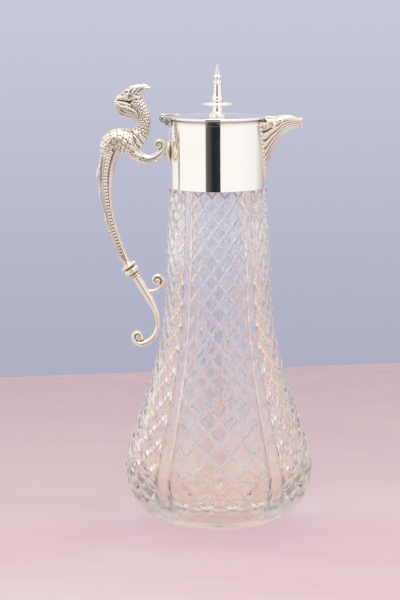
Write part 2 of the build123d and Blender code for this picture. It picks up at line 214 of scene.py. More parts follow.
def limb(stations, ring=24, per=6, side=0.0, relief=None, lean=0.0):
    # stations are (reach out of the collar, rise above the rim, half width, half depth)
    rows = through(stations, per)
    rings = []
    for i, (reach, rise, halfWidth, halfDepth) in enumerate(rows):
        before, after = rows[max(i - 1, 0)], rows[min(i + 1, len(rows) - 1)]
        tangent = Vector((before[0] - after[0], 0, after[1] - before[1])).normalized()
        across = Vector((tangent.z, 0, -tangent.x))
        share = i / (len(rows) - 1)
        centre = Vector((-collarRadius - reach, side + lean * share, rimTop + rise))
        points = []
        for k, (c, s) in enumerate(circle(ring)):
            grow = relief(share, 2 * math.pi * k / ring) if relief else 0.0
            points.append((centre + across * (halfWidth + grow) * c
                           + Vector((0, 1, 0)) * (halfDepth + grow) * s) * mm)
        if i == 0:
            rings.append([(centre - tangent * 0.4 * halfWidth) * mm])
        rings.append(points)
    return rings + [[(centre + tangent * 0.4 * halfWidth) * mm]]


def ball(reach, rise, side, radius, flat=1.0, steps=16):
    centre = Vector((-collarRadius - reach, side, rimTop + rise))
    rings = []
    for i in range(steps // 2 + 1):
        lift = math.pi * i / (steps // 2)
        ringRadius = radius * math.sin(lift)
        y = -radius * flat * math.cos(lift)
        if i in (0, steps // 2):
            rings.append([(centre + Vector((0, y, 0))) * mm])
        else:
            rings.append([(centre + Vector((ringRadius * c, y, ringRadius * s))) * mm
                          for c, s in circle(steps)])
    return rings


def fuse(piece, voxel=0.32, rounds=2):
    # runs the shells of a casting together
    remesh = piece.modifiers.new("runTogether", "REMESH")
    remesh.mode = "VOXEL"
    remesh.voxel_size = voxel * mm
    remesh.use_smooth_shade = True
    smooth = piece.modifiers.new("fettle", "SMOOTH")
    smooth.factor = 0.5
    smooth.iterations = rounds
    settle(piece)
    piece.data.shade_smooth()
    return piece


def markRecess(piece, gain=9.0, rounds=10):
    # 1 in the hollows of a casting, where polish never reaches and the silver darkens
    mesh = piece.data
    count = len(mesh.vertices)
    places, normals = np.zeros(count * 3), np.zeros(count * 3)
    mesh.vertices.foreach_get("co", places)
    mesh.vertex_normals.foreach_get("vector", normals)
    places, normals = places.reshape(-1, 3), normals.reshape(-1, 3)
    ends = np.zeros(len(mesh.edges) * 2, np.int64)
    mesh.edges.foreach_get("vertices", ends)
    first, last = ends[::2], ends[1::2]
    degree = np.maximum(np.bincount(ends, minlength=count), 1)

    def neighbourMean(values):
        means = [(np.bincount(first, column[last], count) + np.bincount(last, column[first], count)) / degree
                 for column in values.T]
        return np.stack(means, axis=1)

    # how far the surface lies under its own smoothed shape, in mm
    level = places
    for _ in range(rounds):
        level = 0.5 * level + 0.5 * neighbourMean(level)
    hollow = (((level - places) * normals).sum(1) / mm).reshape(-1, 1)
    hollow = 0.5 * hollow + 0.5 * neighbourMean(hollow)
    markPoints(piece, "recess", np.clip(hollow[:, 0] * gain, 0, 1).astype(np.float32))


# geometry node trees
def newTree(name, inputs):
    tree = bpy.data.node_groups.new(name, "GeometryNodeTree")
    tree.interface.new_socket("Geometry", in_out="OUTPUT", socket_type="NodeSocketGeometry")
    for label, kind in inputs:
        tree.interface.new_socket(label, in_out="INPUT", socket_type="NodeSocket" + kind)
    return tree, tree.nodes.new("NodeGroupInput").outputs


def runTree(name, tree, values):
    # the inputs are set by identifier before the tree is first evaluated
    piece = addPiece(name, bpy.data.meshes.new(name))
    modifier = piece.modifiers.new(name, "NODES")
    known = {item.name: item.identifier for item in tree.interface.items_tree
             if item.item_type == "SOCKET" and item.in_out == "INPUT"}
    modifier.node_group = tree
    for label, value in values.items():
        modifier[known[label]] = value
    return settle(piece)


def calc(tree, operation, *values):
    return put(tree, "ShaderNodeMath", dict(enumerate(values)), operation=operation).outputs[0]


def makeRowTree():
    # a row of equal units along a path, each standing out from a line or from the jug's axis
    tree, given = newTree("unitsAlongPath", [
        ("Path", "Object"), ("Unit", "Object"), ("Count", "Int"), ("First Size", "Float"),
        ("Last Size", "Float"), ("Stand Out", "Vector"), ("Finish", "Material")])
    path = put(tree, "GeometryNodeObjectInfo", {"Object": given["Path"]}, transform_space="ORIGINAL")
    unit = put(tree, "GeometryNodeObjectInfo", {"Object": given["Unit"]}, transform_space="ORIGINAL")
    points = put(tree, "GeometryNodeCurveToPoints",
                 {"Curve": path.outputs["Geometry"], "Count": given["Count"]}, mode="COUNT")
    place = put(tree, "GeometryNodeInputPosition")
    out = put(tree, "ShaderNodeVectorMath", {0: place.outputs[0], 1: given["Stand Out"]},
              operation="MULTIPLY")
    stand = put(tree, "FunctionNodeAlignRotationToVector", {"Vector": out.outputs[0]}, axis="Z")
    aim = put(tree, "FunctionNodeAlignRotationToVector",
              {"Rotation": stand.outputs[0], "Vector": points.outputs["Tangent"]}, axis="X", pivot_axis="Z")
    index = put(tree, "GeometryNodeInputIndex").outputs[0]
    within = calc(tree, "MODULO", index, given["Count"])
    share = calc(tree, "DIVIDE", within, calc(tree, "SUBTRACT", given["Count"], 1.0))
    growth = calc(tree, "SUBTRACT", given["Last Size"], given["First Size"])
    size = calc(tree, "ADD", given["First Size"], calc(tree, "MULTIPLY", share, growth))
    scale = vectorOf(tree, X=size, Y=size, Z=size)
    units = put(tree, "GeometryNodeInstanceOnPoints",
                {"Points": points.outputs["Points"], "Instance": unit.outputs["Geometry"],
                 "Rotation": aim.outputs[0], "Scale": scale})
    real = put(tree, "GeometryNodeRealizeInstances", {"Geometry": units.outputs[0]})
    done = put(tree, "GeometryNodeSetMaterial", {"Geometry": real.outputs[0], "Material": given["Finish"]})
    put(tree, "NodeGroupOutput", {"Geometry": done.outputs[0]})
    return tree


def makeCutTree():
    # panels of diamonds between mitres and plain bands, bent round the jug's profile
    tree, given = newTree("cutPanels", [
        ("Profile", "Object"), ("Diamond", "Object"), ("Half Diamond", "Object"), ("Band", "Object"),
        ("Rows", "Int"), ("First Row", "Float"), ("Panels", "Int"), ("Panel Pitch", "Float"),
        ("Half Step", "Float"), ("First Panel", "Float"), ("Row Start", "Float"), ("Row Pitch", "Float"),
        ("Row Growth", "Float"), ("Groove Depth", "Float"), ("Fade From", "Float"), ("Fade To", "Float"),
        ("Finish", "Material")])

    def shape(label):
        return put(tree, "GeometryNodeObjectInfo", {"Object": given[label]},
                   transform_space="ORIGINAL").outputs["Geometry"]

    def spread(points, instance, scale=(1.0, 1.0, 1.0)):
        return put(tree, "GeometryNodeInstanceOnPoints",
                   {"Points": points, "Instance": instance, "Scale": scale}).outputs[0]

    def field(across, width, odd):
        # a grid of cell centres, two steps apart, its first row at First Row or one step later
        rows = given["Rows"]
        height = calc(tree, "MULTIPLY", calc(tree, "SUBTRACT", rows, 1.0), 2.0)
        grid = put(tree, "GeometryNodeMeshGrid", {"Size X": width, "Size Y": height, "Vertices X": across,
                                                  "Vertices Y": rows})
        middle = calc(tree, "ADD", calc(tree, "ADD", given["First Row"], odd),
                      calc(tree, "MULTIPLY", height, 0.5))
        return put(tree, "GeometryNodeTransform", {"Geometry": grid.outputs[0],
                                                   "Translation": vectorOf(tree, Y=middle)}).outputs[0]

    def column(across):
        start = vectorOf(tree, X=across, Y=given["First Row"])
        return put(tree, "GeometryNodeMeshLine", {"Count": given["Rows"], "Start Location": start,
                                                  "Offset": (0.0, 2.0, 0.0)}).outputs[0]

    sector = put(tree, "GeometryNodeJoinGeometry")
    cells = [spread(field(3, 4.0, 0.0), shape("Diamond")), spread(field(4, 6.0, 1.0), shape("Diamond")),
             spread(column(4.0), shape("Half Diamond")),
             spread(column(-4.0), shape("Half Diamond"), (-1.0, 1.0, 1.0)),
             spread(column(4.0), shape("Band"))]
    for cell in cells:
        tree.links.new(cell, sector.inputs[0])
    stepAcross = vectorOf(tree, X=given["Panel Pitch"])
    sectors = put(tree, "GeometryNodeMeshLine", {"Count": given["Panels"], "Offset": stepAcross})
    around = spread(sectors.outputs[0], sector.outputs[0])
    flat = put(tree, "GeometryNodeRealizeInstances", {"Geometry": around}).outputs[0]

    across, down, cut = splitUp(tree, put(tree, "GeometryNodeInputPosition").outputs[0])
    length = calc(tree, "ADD", given["Row Start"], calc(tree, "MULTIPLY", down, calc(
        tree, "ADD", given["Row Pitch"], calc(tree, "MULTIPLY", down, given["Row Growth"]))))
    onProfile = put(tree, "GeometryNodeSampleCurve", {"Curves": shape("Profile"), "Length": length},
                    mode="LENGTH")
    spot, run = splitUp(tree, onProfile.outputs["Position"]), splitUp(tree, onProfile.outputs["Tangent"])
    fade = put(tree, "ShaderNodeMapRange", {"Value": down, "From Min": given["Fade From"],
                                            "From Max": given["Fade To"], "To Min": 1.0, "To Max": 0.0})
    inward = calc(tree, "MULTIPLY", calc(tree, "MULTIPLY", cut, fade.outputs[0]),
                  calc(tree, "MULTIPLY", given["Groove Depth"], spot[0]))
    radius = calc(tree, "SUBTRACT", spot[0], calc(tree, "MULTIPLY", run[2], inward))
    height = calc(tree, "ADD", spot[2], calc(tree, "MULTIPLY", run[0], inward))
    turn = calc(tree, "ADD", given["First Panel"], calc(tree, "MULTIPLY", across, given["Half Step"]))
    bent = vectorOf(tree, X=calc(tree, "MULTIPLY", radius, calc(tree, "COSINE", turn)),
                    Y=calc(tree, "MULTIPLY", radius, calc(tree, "SINE", turn)), Z=height)
    wall = put(tree, "GeometryNodeSetPosition", {"Geometry": flat, "Position": bent})
    whole = put(tree, "GeometryNodeMergeByDistance", {"Geometry": wall.outputs[0], "Distance": 0.01 * mm})
    done = put(tree, "GeometryNodeSetMaterial", {"Geometry": whole.outputs[0], "Material": given["Finish"]})
    put(tree, "NodeGroupOutput", {"Geometry": done.outputs[0]})
    return tree


# finishes
def startFinish(name, **fixed):
    finish = bpy.data.materials.new(name)
    finish.use_nodes = True
    tree = finish.node_tree
    shader = tree.nodes["Principled BSDF"]
    feed(tree, shader, fixed)
    return finish, tree, shader, put(tree, "ShaderNodeTexCoord").outputs["Object"]


def paint(tree, shader, colour, roughness):
    feed(tree, shader, {"Base Color": colour, "Roughness": roughness})


def cloudy(tree, place, scale, detail=4.0, stretch=(1.0, 1.0, 1.0), rough=0.5):
    mapped = put(tree, "ShaderNodeMapping", {"Vector": place, "Scale": stretch})
    return put(tree, "ShaderNodeTexNoise", {"Vector": mapped.outputs[0], "Scale": scale, "Detail": detail,
                                            "Roughness": rough}).outputs["Fac"]


def ranged(tree, value, low, high, toLow, toHigh):
    return put(tree, "ShaderNodeMapRange", {"Value": value, "From Min": low, "From Max": high,
                                            "To Min": toLow, "To Max": toHigh}).outputs[0]


def blendColour(tree, share, *colours):
    first, second = [c if isinstance(c, bpy.types.NodeSocket) else (*c, 1.0) for c in colours]
    return put(tree, "ShaderNodeMix", {0: share, 6: first, 7: second}, data_type="RGBA").outputs[2]


def marked(tree, name):
    return put(tree, "ShaderNodeAttribute", attribute_name=name).outputs["Fac"]


def bumped(tree, shader, height, distance, strength=1.0):
    bump = put(tree, "ShaderNodeBump", {"Height": height, "Distance": distance * mm, "Strength": strength})
    feed(tree, shader, {"Normal": bump.outputs[0]})


silverLook = dict(bright=(0.965, 0.95, 0.93), warm=(0.94, 0.885, 0.80), patinaAndShade=(0.22, 0.125, 0.075),
                  castBright=(0.96, 0.91, 0.85), castWarm=(0.91, 0.82, 0.70),
                  polishedRoughness=(0.035, 0.085), castRoughness=(0.26, 0.36))


def makePolishedSilver():
    finish, tree, shader, place = startFinish("polishedSilver", Metallic=1.0)
    smears = cloudy(tree, place, 38.0, 5.0)
    tint = ranged(tree, smears, 0.4, 0.75, 0.0, 0.55)
    body = blendColour(tree, tint, silverLook["bright"], silverLook["warm"])
    recess = marked(tree, "recess")
    smooth = ranged(tree, cloudy(tree, place, 120.0, 6.0), 0.35, 0.7, *silverLook["polishedRoughness"])
    # on polished pieces the recess mark is painted shadow beside the lid joint, laid in the patina brown
    paint(tree, shader, blendColour(tree, recess, body, silverLook["patinaAndShade"]),
          calc(tree, "ADD", smooth, calc(tree, "MULTIPLY", recess, 0.3)))
    # fine polishing marks that run round the collar
    bumped(tree, shader, cloudy(tree, place, 260.0, 2.0, (1.0, 1.0, 14.0)), 0.0012)
    return finish


def makeCastSilver():
    finish, tree, shader, place = startFinish("castSilver", Metallic=1.0)
    recess = marked(tree, "recess")
    grain = cloudy(tree, place, 900.0, 5.0)
    depth = calc(tree, "MULTIPLY", recess, ranged(tree, grain, 0.2, 0.7, 1.25, 0.75))
    dark = ranged(tree, depth, 0.06, 0.75, 0.0, 1.0)
    body = blendColour(tree, ranged(tree, cloudy(tree, place, 90.0), 0.35, 0.75, 0.0, 0.8),
                       silverLook["castBright"], silverLook["castWarm"])
    worn = ranged(tree, grain, 0.3, 0.75, *silverLook["castRoughness"])
    paint(tree, shader, blendColour(tree, dark, body, silverLook["patinaAndShade"]),
          calc(tree, "ADD", worn, calc(tree, "MULTIPLY", dark, 0.35)))
    bumped(tree, shader, cloudy(tree, place, 500.0, 3.0), 0.02, 0.3)
    return finish


def makeBrass():
    finish, tree, shader, place = startFinish("platedBrass", Metallic=1.0)
    patch = ranged(tree, cloudy(tree, place, 300.0, 6.0), 0.45, 0.65, 0.0, 1.0)
    paint(tree, shader, blendColour(tree, patch, (0.90, 0.87, 0.82), (0.84, 0.76, 0.64)),
          ranged(tree, patch, 0.0, 1.0, 0.14, 0.34))
    bumped(tree, shader, cloudy(tree, place, 1200.0, 3.0), 0.02, 0.4)
    return finish


def makePlaster():
    finish, tree, shader, place = startFinish("plaster")
    crumbs = cloudy(tree, place, 700.0, 8.0, rough=0.7)
    paint(tree, shader, blendColour(tree, crumbs, (0.70, 0.67, 0.60), (0.88, 0.86, 0.81)),
          ranged(tree, crumbs, 0.3, 0.7, 0.8, 0.98))
    bumped(tree, shader, crumbs, 0.15, 0.8)
    return finish


def makeGlass():
    finish, tree, shader, place = startFinish("cutGlass", IOR=1.52, **{"Transmission Weight": 1.0})
    smudge = cloudy(tree, place, 70.0, 6.0)
    # the foot and the lower walls are tinted amber, a painted warm glow in the thick glass; the walls above
    # are water-white
    height = splitUp(tree, place)[2]
    tint = calc(tree, "MULTIPLY", ranged(tree, height, 0.004, 0.075, 1.0, 0.0),
                ranged(tree, smudge, 0.2, 0.8, 0.75, 1.0))
    body = blendColour(tree, tint, (0.999, 0.992, 0.990), (0.995, 0.945, 0.87))
    # painted warm glow, strongest at the very bottom of the heel
    heelGlow = ranged(tree, height, 0.001, 0.016, 1.0, 0.0)
    body = blendColour(tree, heelGlow, body, (0.97, 0.87, 0.72))
    # the glass is tinted darker along the bottom of the long mitres
    line = ranged(tree, marked(tree, "mitre"), 0.55, 0.95, 0.0, 0.75)
    # years of claret have left a bloom on the inside
    bloom = calc(tree, "MULTIPLY", marked(tree, "inside"), ranged(tree, smudge, 0.3, 0.7, 0.11, 0.16))
    paint(tree, shader, blendColour(tree, line, body, (0.40, 0.29, 0.29)),
          calc(tree, "ADD", ranged(tree, smudge, 0.5, 0.8, 0.0, 0.02), bloom))
    bumped(tree, shader, cloudy(tree, place, 95.0, 2.0), 0.04, 0.2)   # the wheel leaves faint waves
    return finish


polishedSilver, castSilver, cutGlass = makePolishedSilver(), makeCastSilver(), makeGlass()
platedBrass, plasterBed = makeBrass(), makePlaster()


def dress(piece, finish, body, *nodes):
    # gives a finished piece its material and its body, and hides the nodes that it stands for
    piece.data.materials.clear()
    piece.data.materials.append(finish)
    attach(piece, body)
    if nodes:
        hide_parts(*nodes)
    return piece


def cast(name, shells, nodes, voxel=0.26, rounds=1, gain=12.0, reach=10):
    # runs the shells of a casting together, darkens its hollows and dresses it
    piece = fuse(skinAll(name, shells), voxel, rounds)
    markRecess(piece, gain, reach)
    return dress(piece, castSilver, "jug", *nodes)


def joinMeshes(name, pieces):
    # several meshes as one piece
    work = bmesh.new()
    for piece in pieces:
        work.from_mesh(piece.data)
        mesh = piece.data
        bpy.data.objects.remove(piece)
        bpy.data.meshes.remove(mesh)
    joined = bpy.data.meshes.new(name)
    work.to_mesh(joined)
    work.free()
    joined.shade_smooth()
    joined.set_sharp_from_angle(angle=math.radians(40))
    return addPiece(name, joined)


def pathCurve(name, lines):
    # a scratch curve for a tree to follow; removed once the tree has run
    curve = bpy.data.curves.new(name, "CURVE")
    curve.dimensions = "3D"
    for line in lines:
        spline = curve.splines.new("POLY")
        spline.points.add(len(line) - 1)
        for point, place in zip(spline.points, line):
            point.co = (*place, 1.0)
    return addPiece(name, curve)


def discard(*pieces):
    for piece in pieces:
        bpy.data.objects.remove(piece)


print("finishes ready")

# cut glass body
glass = dict(
    flank=[(59.8, 50.0), (50.8, 78.0), (42.6, 106.0), (37.3, 133.0), (34.2, 173.0)],   # radius, height
    bellyRadius=63.0, bellyHeight=33.0, baseRadius=34.0, shoulderRadius=32.3,
    neckRadius=27.2, neckTop=250.0, wall=4.6, floor=11.0,
    panels=5, halfPanel=31.0, facing=-90.0,                # degrees; the front panel faces -Y
    plate=0.63, mitre=0.19,                                # flat share of a diamond, half width of a mitre
    rowStart=4.74, rowPitch=5.487, rowGrowth=0.0576,       # spacing down the profile, in mm
    grooveDepth=0.021, fadeFrom=27.3, fadeTo=29.3,         # depth as a share of the radius
    rows=18, firstRow=-4.0,
    cutLow=4.5, starRays=24, starDepth=1.3, starMiddle=13.0, crease=16.0,
)


def glassProfile(inset=0.0, per=10):
    # radius and height down the outside, or down the inside for an inset
    topRadius = (glass["neckRadius"] if inset else glass["shoulderRadius"]) - inset
    flank = [(r - inset, z) for r, z in glass["flank"][::-1]]
    bellyHeight = glass["bellyHeight"] + inset
    # one row beyond each end keeps the ends upright
    rows = [(flank[0][0], 2 * shoulderHeight - flank[0][1]), (topRadius, shoulderHeight), *flank,
            (glass["bellyRadius"] - inset, bellyHeight), (flank[-1][0], 2 * bellyHeight - flank[-1][1])]
    line = [tuple(row) for row in through([(r, z, 1.0, 1.0) for r, z in rows], per)[per:-per, :2]]
    low, flat = glass["floor"] if inset else 0.0, glass["baseRadius"]
    for i in range(1, 19):
        turn = math.pi / 2 * i / 18
        line.append((flat + (glass["bellyRadius"] - inset - flat) * math.cos(turn),
                     bellyHeight - (bellyHeight - low) * math.sin(turn)))
    return line


def cellMesh(name, outer, inner, cuts):
    # one cell of the lattice: a flat plate and sloping sides down to the grooves (z -1)
    points, faces = [], []
    count = len(outer)

    def side(a, b, low):
        return [Vector((a[0] + (b[0] - a[0]) * k / cuts, a[1] + (b[1] - a[1]) * k / cuts, low))
                for k in range(cuts + 1)]

    for i in range(count):
        j = (i + 1) % count
        valley, edge = side(outer[i], outer[j], -1.0), side(inner[i], inner[j], 0.0)
        start = len(points)
        points.extend(valley + edge)
        for k in range(cuts):
            faces.append((start + k, start + k + 1, start + cuts + k + 2, start + cuts + k + 1))
    rim = [p for i in range(count) for p in side(inner[i], inner[(i + 1) % count], 0.0)[:-1]]
    middle = Vector((sum(p[0] for p in inner) / count, sum(p[1] for p in inner) / count, 0.0))
    half = [middle.lerp(p, 0.5) for p in rim]
    start = len(points)
    points.extend(rim + half + [middle])
    total = len(rim)
    for k in range(total):
        n = (k + 1) % total
        faces.append((start + k, start + n, start + total + n, start + total + k))
        faces.append((start + total + k, start + total + n, start + 2 * total))
    return seal(meshPiece(name, points, faces), mergeBy=1.0)


def makeGlassBody():
    plate, mitre = glass["plate"], glass["mitre"]
    halfStep = glass["halfPanel"] / 4
    pitch = 360.0 / glass["panels"] / halfStep
    bandWidth = pitch - 8.0
    diamond = cellMesh("diamondCell", [(1, 0), (0, 1), (-1, 0), (0, -1)],
                       [(plate, 0), (0, plate), (-plate, 0), (0, -plate)], 4)
    half = cellMesh("halfCell", [(0, -1), (0, 1), (-1, 0)],
                    [(-mitre, mitre - plate), (-mitre, plate - mitre), (-plate, 0)], 4)
    columns = [0.0, mitre, bandWidth * 0.35, bandWidth * 0.65, bandWidth - mitre, bandWidth]
    depths = [-1.0, 0.0, 0.0, 0.0, 0.0, -1.0]
    rows = [-1 + 0.5 * k for k in range(5)]
    points = [Vector((x, y, low)) for y in rows for x, low in zip(columns, depths)]
    wide = len(columns)
    faces = [(r * wide + c, r * wide + c + 1, (r + 1) * wide + c + 1, (r + 1) * wide + c)
             for r in range(len(rows) - 1) for c in range(wide - 1)]
    band = meshPiece("bandCell", points, faces)
    for cell, edges in ((half, (0.0,)), (band, (0.0, bandWidth))):
        marks = [1.0 if min(abs(v.co.x - edge) for edge in edges) < 0.01 else 0.0 for v in cell.data.vertices]
        markPoints(cell, "mitre", marks)
    lead = 30.0                                # profile above the shoulder, cut off again below
    outside = [(glass["shoulderRadius"], shoulderHeight + lead), *glassProfile(per=24)]
    profile = pathCurve("profileLine", [[Vector((r, 0, z)) * mm for r, z in outside]])
    wall = runTree("glass_body_cut", makeCutTree(), {
        "Profile": profile, "Diamond": diamond, "Half Diamond": half, "Band": band,
        "Rows": glass["rows"], "First Row": glass["firstRow"],
        "Panels": glass["panels"], "Panel Pitch": pitch,
        "Half Step": math.radians(halfStep), "First Panel": math.radians(glass["facing"]),
        "Row Start": (glass["rowStart"] + lead) * mm, "Row Pitch": glass["rowPitch"] * mm,
        "Row Growth": glass["rowGrowth"] * mm, "Groove Depth": glass["grooveDepth"],
        "Fade From": glass["fadeFrom"], "Fade To": glass["fadeTo"], "Finish": cutGlass})
    discard(profile, diamond, half, band)

    work = bmesh.new()
    work.from_mesh(wall.data)
    bmesh.ops.remove_doubles(work, verts=work.verts, dist=0.02 * mm)
    for height, normal in ((shoulderHeight, (0, 0, 1)), (glass["cutLow"], (0, 0, -1))):
        bmesh.ops.bisect_plane(work, geom=work.verts[:] + work.edges[:] + work.faces[:], dist=0.001 * mm,
                               plane_co=(0, 0, height * mm), plane_no=normal, clear_outer=True)
    bmesh.ops.remove_doubles(work, verts=work.verts, dist=0.02 * mm)

    inside = work.verts.layers.float.new("inside")

    def carry(edges, places, within=0.0):
        # runs the open rim on through (radius, height) places, and gives back its new edges
        for radius, height in places:
            grown = bmesh.ops.extrude_edge_only(work, edges=edges)["geom"]
            fresh = [g for g in grown if isinstance(g, bmesh.types.BMVert)]
            for vert in fresh:
                flatPlace = Vector((vert.co.x, vert.co.y, 0)).normalized()
                lift = height(math.atan2(vert.co.y, vert.co.x)) if callable(height) else height
                vert.co = flatPlace * max(radius, 0.02) * mm + Vector((0, 0, lift * mm))
                vert[inside] = within
            edges = [g for g in grown if isinstance(g, bmesh.types.BMEdge)]
        return edges

    def star(radius):
        share = max(0.0, 1 - abs(radius - glass["starMiddle"]) / glass["starMiddle"])

        def lift(turn):
            wave = abs((turn * glass["starRays"] / (2 * math.pi)) % 1.0 - 0.5) * 2
            return glass["starDepth"] * (1 - wave) * min(1.0, 2.2 * share)
        return lift

    border = [edge for edge in work.edges if edge.is_boundary]
    upper = [edge for edge in border if edge.verts[0].co.z > 0.1]
    lower = [edge for edge in border if edge.verts[0].co.z < 0.1]
    inner = glassProfile(glass["wall"], per=5)
    outer, top = glass["neckRadius"], glass["neckTop"]
    bore = outer - glass["wall"]
    neck = [(outer + 0.3, shoulderHeight), (outer, shoulderHeight + 0.3), (outer, top - 1.0),
            (outer - 1.0, top), (bore + 1.0, top), (bore, top - 1.0)]
    last = carry(carry(upper, neck), inner + [(r, glass["floor"]) for r in (24.0, 12.0, 3.0)], 1.0)
    bmesh.ops.edgeloop_fill(work, edges=last)
    heel = [(r, z) for r, z in glassProfile()[-17:] if z < glass["cutLow"] - 0.3]
    rays = [(r, star(r)) for r in (26.0, 24.0, 21.0, 17.0, 13.0, 9.0, 6.0, 3.0)]
    bmesh.ops.edgeloop_fill(work, edges=carry(lower, heel + [(30.0, 0.0)] + rays))
    bmesh.ops.triangulate(work, faces=[f for f in work.faces if len(f.verts) > 4])
    bmesh.ops.recalc_face_normals(work, faces=work.faces)
    work.to_mesh(wall.data)
    work.free()
    wall.data.shade_smooth()
    wall.data.set_sharp_from_angle(angle=math.radians(glass["crease"]))
    wall.visible_shadow = False
    wall.visible_diffuse = False
    return dress(wall, cutGlass, "jug", "glass_body")


glassBody = makeGlassBody()
print("glass body cut:", len(glassBody.data.polygons), "faces")

# collar and rim
collar = dict(wall=0.9, holeHalfWidth=9.0, holeDrop=4.2, holeHeight=9.0, holeSteps=28, turnedIn=0.15,
              steps=288)


def makeCollar():
    outer, inner = collarRadius, collarRadius - collar["wall"]
    holeHigh = rimTop - collar["holeDrop"]
    holeLow = holeHigh - collar["holeHeight"]
    low, high = shoulderHeight, collarHigh.z / mm
    holeTurn = math.asin(collar["holeHalfWidth"] / outer)
    holeSteps, turnedIn = collar["holeSteps"], collar["turnedIn"]
    turns = [holeTurn * (-1 + 2 * k / holeSteps) for k in range(holeSteps + 1)]
    rest = collar["steps"] - holeSteps
    turns += [holeTurn + (2 * math.pi - 2 * holeTurn) * k / rest for k in range(1, rest)]
    heights = [low, low + 0.15, low + 0.3, low + 4, low + 16, holeLow]
    heights += [holeLow + 0.75 * k for k in range(1, 12)] + [holeHigh, high - 0.3, high - 0.15, high]
    points, faces = [], []
    count, rows = len(turns), len(heights)
    for skinRadius in (outer, inner):
        for row, height in enumerate(heights):
            ease = turnedIn if row == 0 else 0.0
            radius = skinRadius - ease if skinRadius == outer else skinRadius + ease
            points.extend(Vector((radius * math.cos(t), radius * math.sin(t), height)) * mm for t in turns)

    def inHole(row, k):
        return k < holeSteps and heights[row] >= holeLow - 0.01 and heights[row + 1] <= holeHigh + 0.01

    for row in range(rows - 1):
        for k in range(count):
            n = (k + 1) % count
            quad = (row * count + k, row * count + n, (row + 1) * count + n, (row + 1) * count + k)
            if not inHole(row, k):
                faces.append(quad)
                faces.append(tuple(q + rows * count for q in reversed(quad)))
                continue
            for a, b, beyond in ((0, 1, row > 0 and not inHole(row - 1, k)),
                                 (2, 3, not inHole(row + 1, k)),
                                 (1, 2, not inHole(row, n)), (3, 0, not inHole(row, k - 1) or k == 0)):
                if beyond:
                    faces.append((quad[a], quad[b], quad[b] + rows * count, quad[a] + rows * count))
    for row in (0, rows - 1):
        for k in range(count):
            n = (k + 1) % count
            base = row * count
            faces.append((base + k, base + n, base + n + rows * count, base + k + rows * count))
    sleeve = seal(meshPiece("collar_sleeve_sheet", points, faces), mergeBy=0.001, crease=30.0)
    return dress(sleeve, polishedSilver, "jug", "collar_sleeve")


makeCollar()
rimLowHeight = rimLow.z / mm
rimFace = collarRadius + 0.05
rimOutline = eased([(rimFace, rimLowHeight), (rimFace, rimLowHeight + 0.3), (rimFace, rimTop),
                    (rimRadius - 2.1, rimTop), (rimRadius - 2.1, rimLowHeight)], 0.05, 2)
rimPiece = turned("collar_rim_bead", rimOutline, steps=288)
# painted shadow under the lid's edge, along the top of the rim
shadeBesideJoint(rimPiece, rimTop + 0.2, 0.8)
dress(rimPiece, polishedSilver, "jug", "collar_rim")
print("collar on")

# lid and finial
lidTop = lidLow.z / mm + 1.3
discTop = lidTop + 9.9
lidSet = dict(
    plate=[(1.4, -1.3), (31.1, -1.3), (31.5, -0.95), (31.45, 0.1), (31.1, 0.4), (30.0, 0.45), (29.1, 0.3),
           (1.4, 0.32)],
    bezel=[(27.1, -1.3), (27.1, -4.6), (27.4, -4.9), (27.9, -4.9), (28.2, -4.6), (28.2, -1.3)],
    ring=[(1.4, 0.15), (5.1, 0.0), (5.5, 0.5), (5.7, 1.1), (5.3, 1.75), (4.6, 2.1), (1.4, 2.1)],
    foot=[(1.4, 2.1), (4.4, 2.1), (4.3, 2.6), (3.6, 3.4), (3.15, 4.6), (3.2, 6.0), (3.5, 7.1), (1.4, 7.1)],
    disc=[(1.4, 7.1), (3.5, 7.1), (7.0, 7.4), (9.6, 8.0), (10.45, 8.5), (10.3, 8.85), (8.0, 9.35), (5.0, 9.8),
          (3.9, 9.9), (1.4, 9.9)],
    spire=[(0.0, 0.0), (3.0, 0.0), (3.15, 0.7), (3.75, 1.7), (3.6, 2.4), (3.2, 3.2), (2.75, 5.0), (2.5, 8.3),
           (2.35, 11.5), (2.95, 11.9), (3.2, 12.5), (2.9, 13.2), (2.2, 13.6), (1.5, 14.2), (1.7, 14.9),
           (2.9, 15.3), (2.95, 16.3), (2.1, 16.7), (1.5, 17.3), (1.5, 18.2), (1.15, 19.8), (0.8, 21.6),
           (0.35, 23.4), (0.0, 23.6)],
)


def raised(outline, height):
    return [(radius, height + z) for radius, z in outline]


lidPlate = turned("lid_plate_spun", eased(raised(lidSet["plate"], lidTop), 0.28, 4), steps=288)
# painted shadow along the lower edge of the lid plate
shadeBesideJoint(lidPlate, lidTop - 1.45, 0.55)
dress(lidPlate, polishedSilver, "lid", "lid_plate")
for name, finishPiece in (("bezel", "lid_bezel"), ("ring", "finial_ring"), ("foot", "finial_foot"),
                          ("disc", "finial_disc")):
    cut = 0.2 if name != "foot" else 0.35
    dress(turned(finishPiece + "_spun", eased(raised(lidSet[name], lidTop), cut, 4)), polishedSilver, "lid",
          finishPiece)
spire = turned("finial_spire_spun", eased(raised(lidSet["spire"], discTop), 0.35, 4, loop=False), loop=False,
               steps=96)
dress(spire, polishedSilver, "lid", "finial_spire")
print("lid and finial spun")

# hinge
hinge = dict(x=(pinLow.x + pinHigh.x) / 2 / mm, z=(pinLow.z + pinHigh.z) / 2 / mm, knuckle=2.4, centre=3.0,
             gap=0.3, earEnd=6.9, pin=0.9, pinHead=1.5, pinEnd=7.7)


def barrel(name, low, high, radius, hole, cut=0.35):
    outline = eased([(radius, low), (radius, high), (hole, high), (hole, low)], cut, 4)
    return turned(name, outline, steps=48, at=(hinge["x"], hinge["z"]), along="Y")


def slab(name, sections):
    # lofts closed sections of (x, y, z) in mm and caps both ends
    rings = [[Vector(point) * mm for point in section] for section in sections]
    middleFirst = sum(rings[0], Vector()) / len(rings[0])
    middleLast = sum(rings[-1], Vector()) / len(rings[-1])
    points, faces = skin([[middleFirst], *rings, [middleLast]])
    return seal(meshPiece(name, points, faces), crease=40.0)


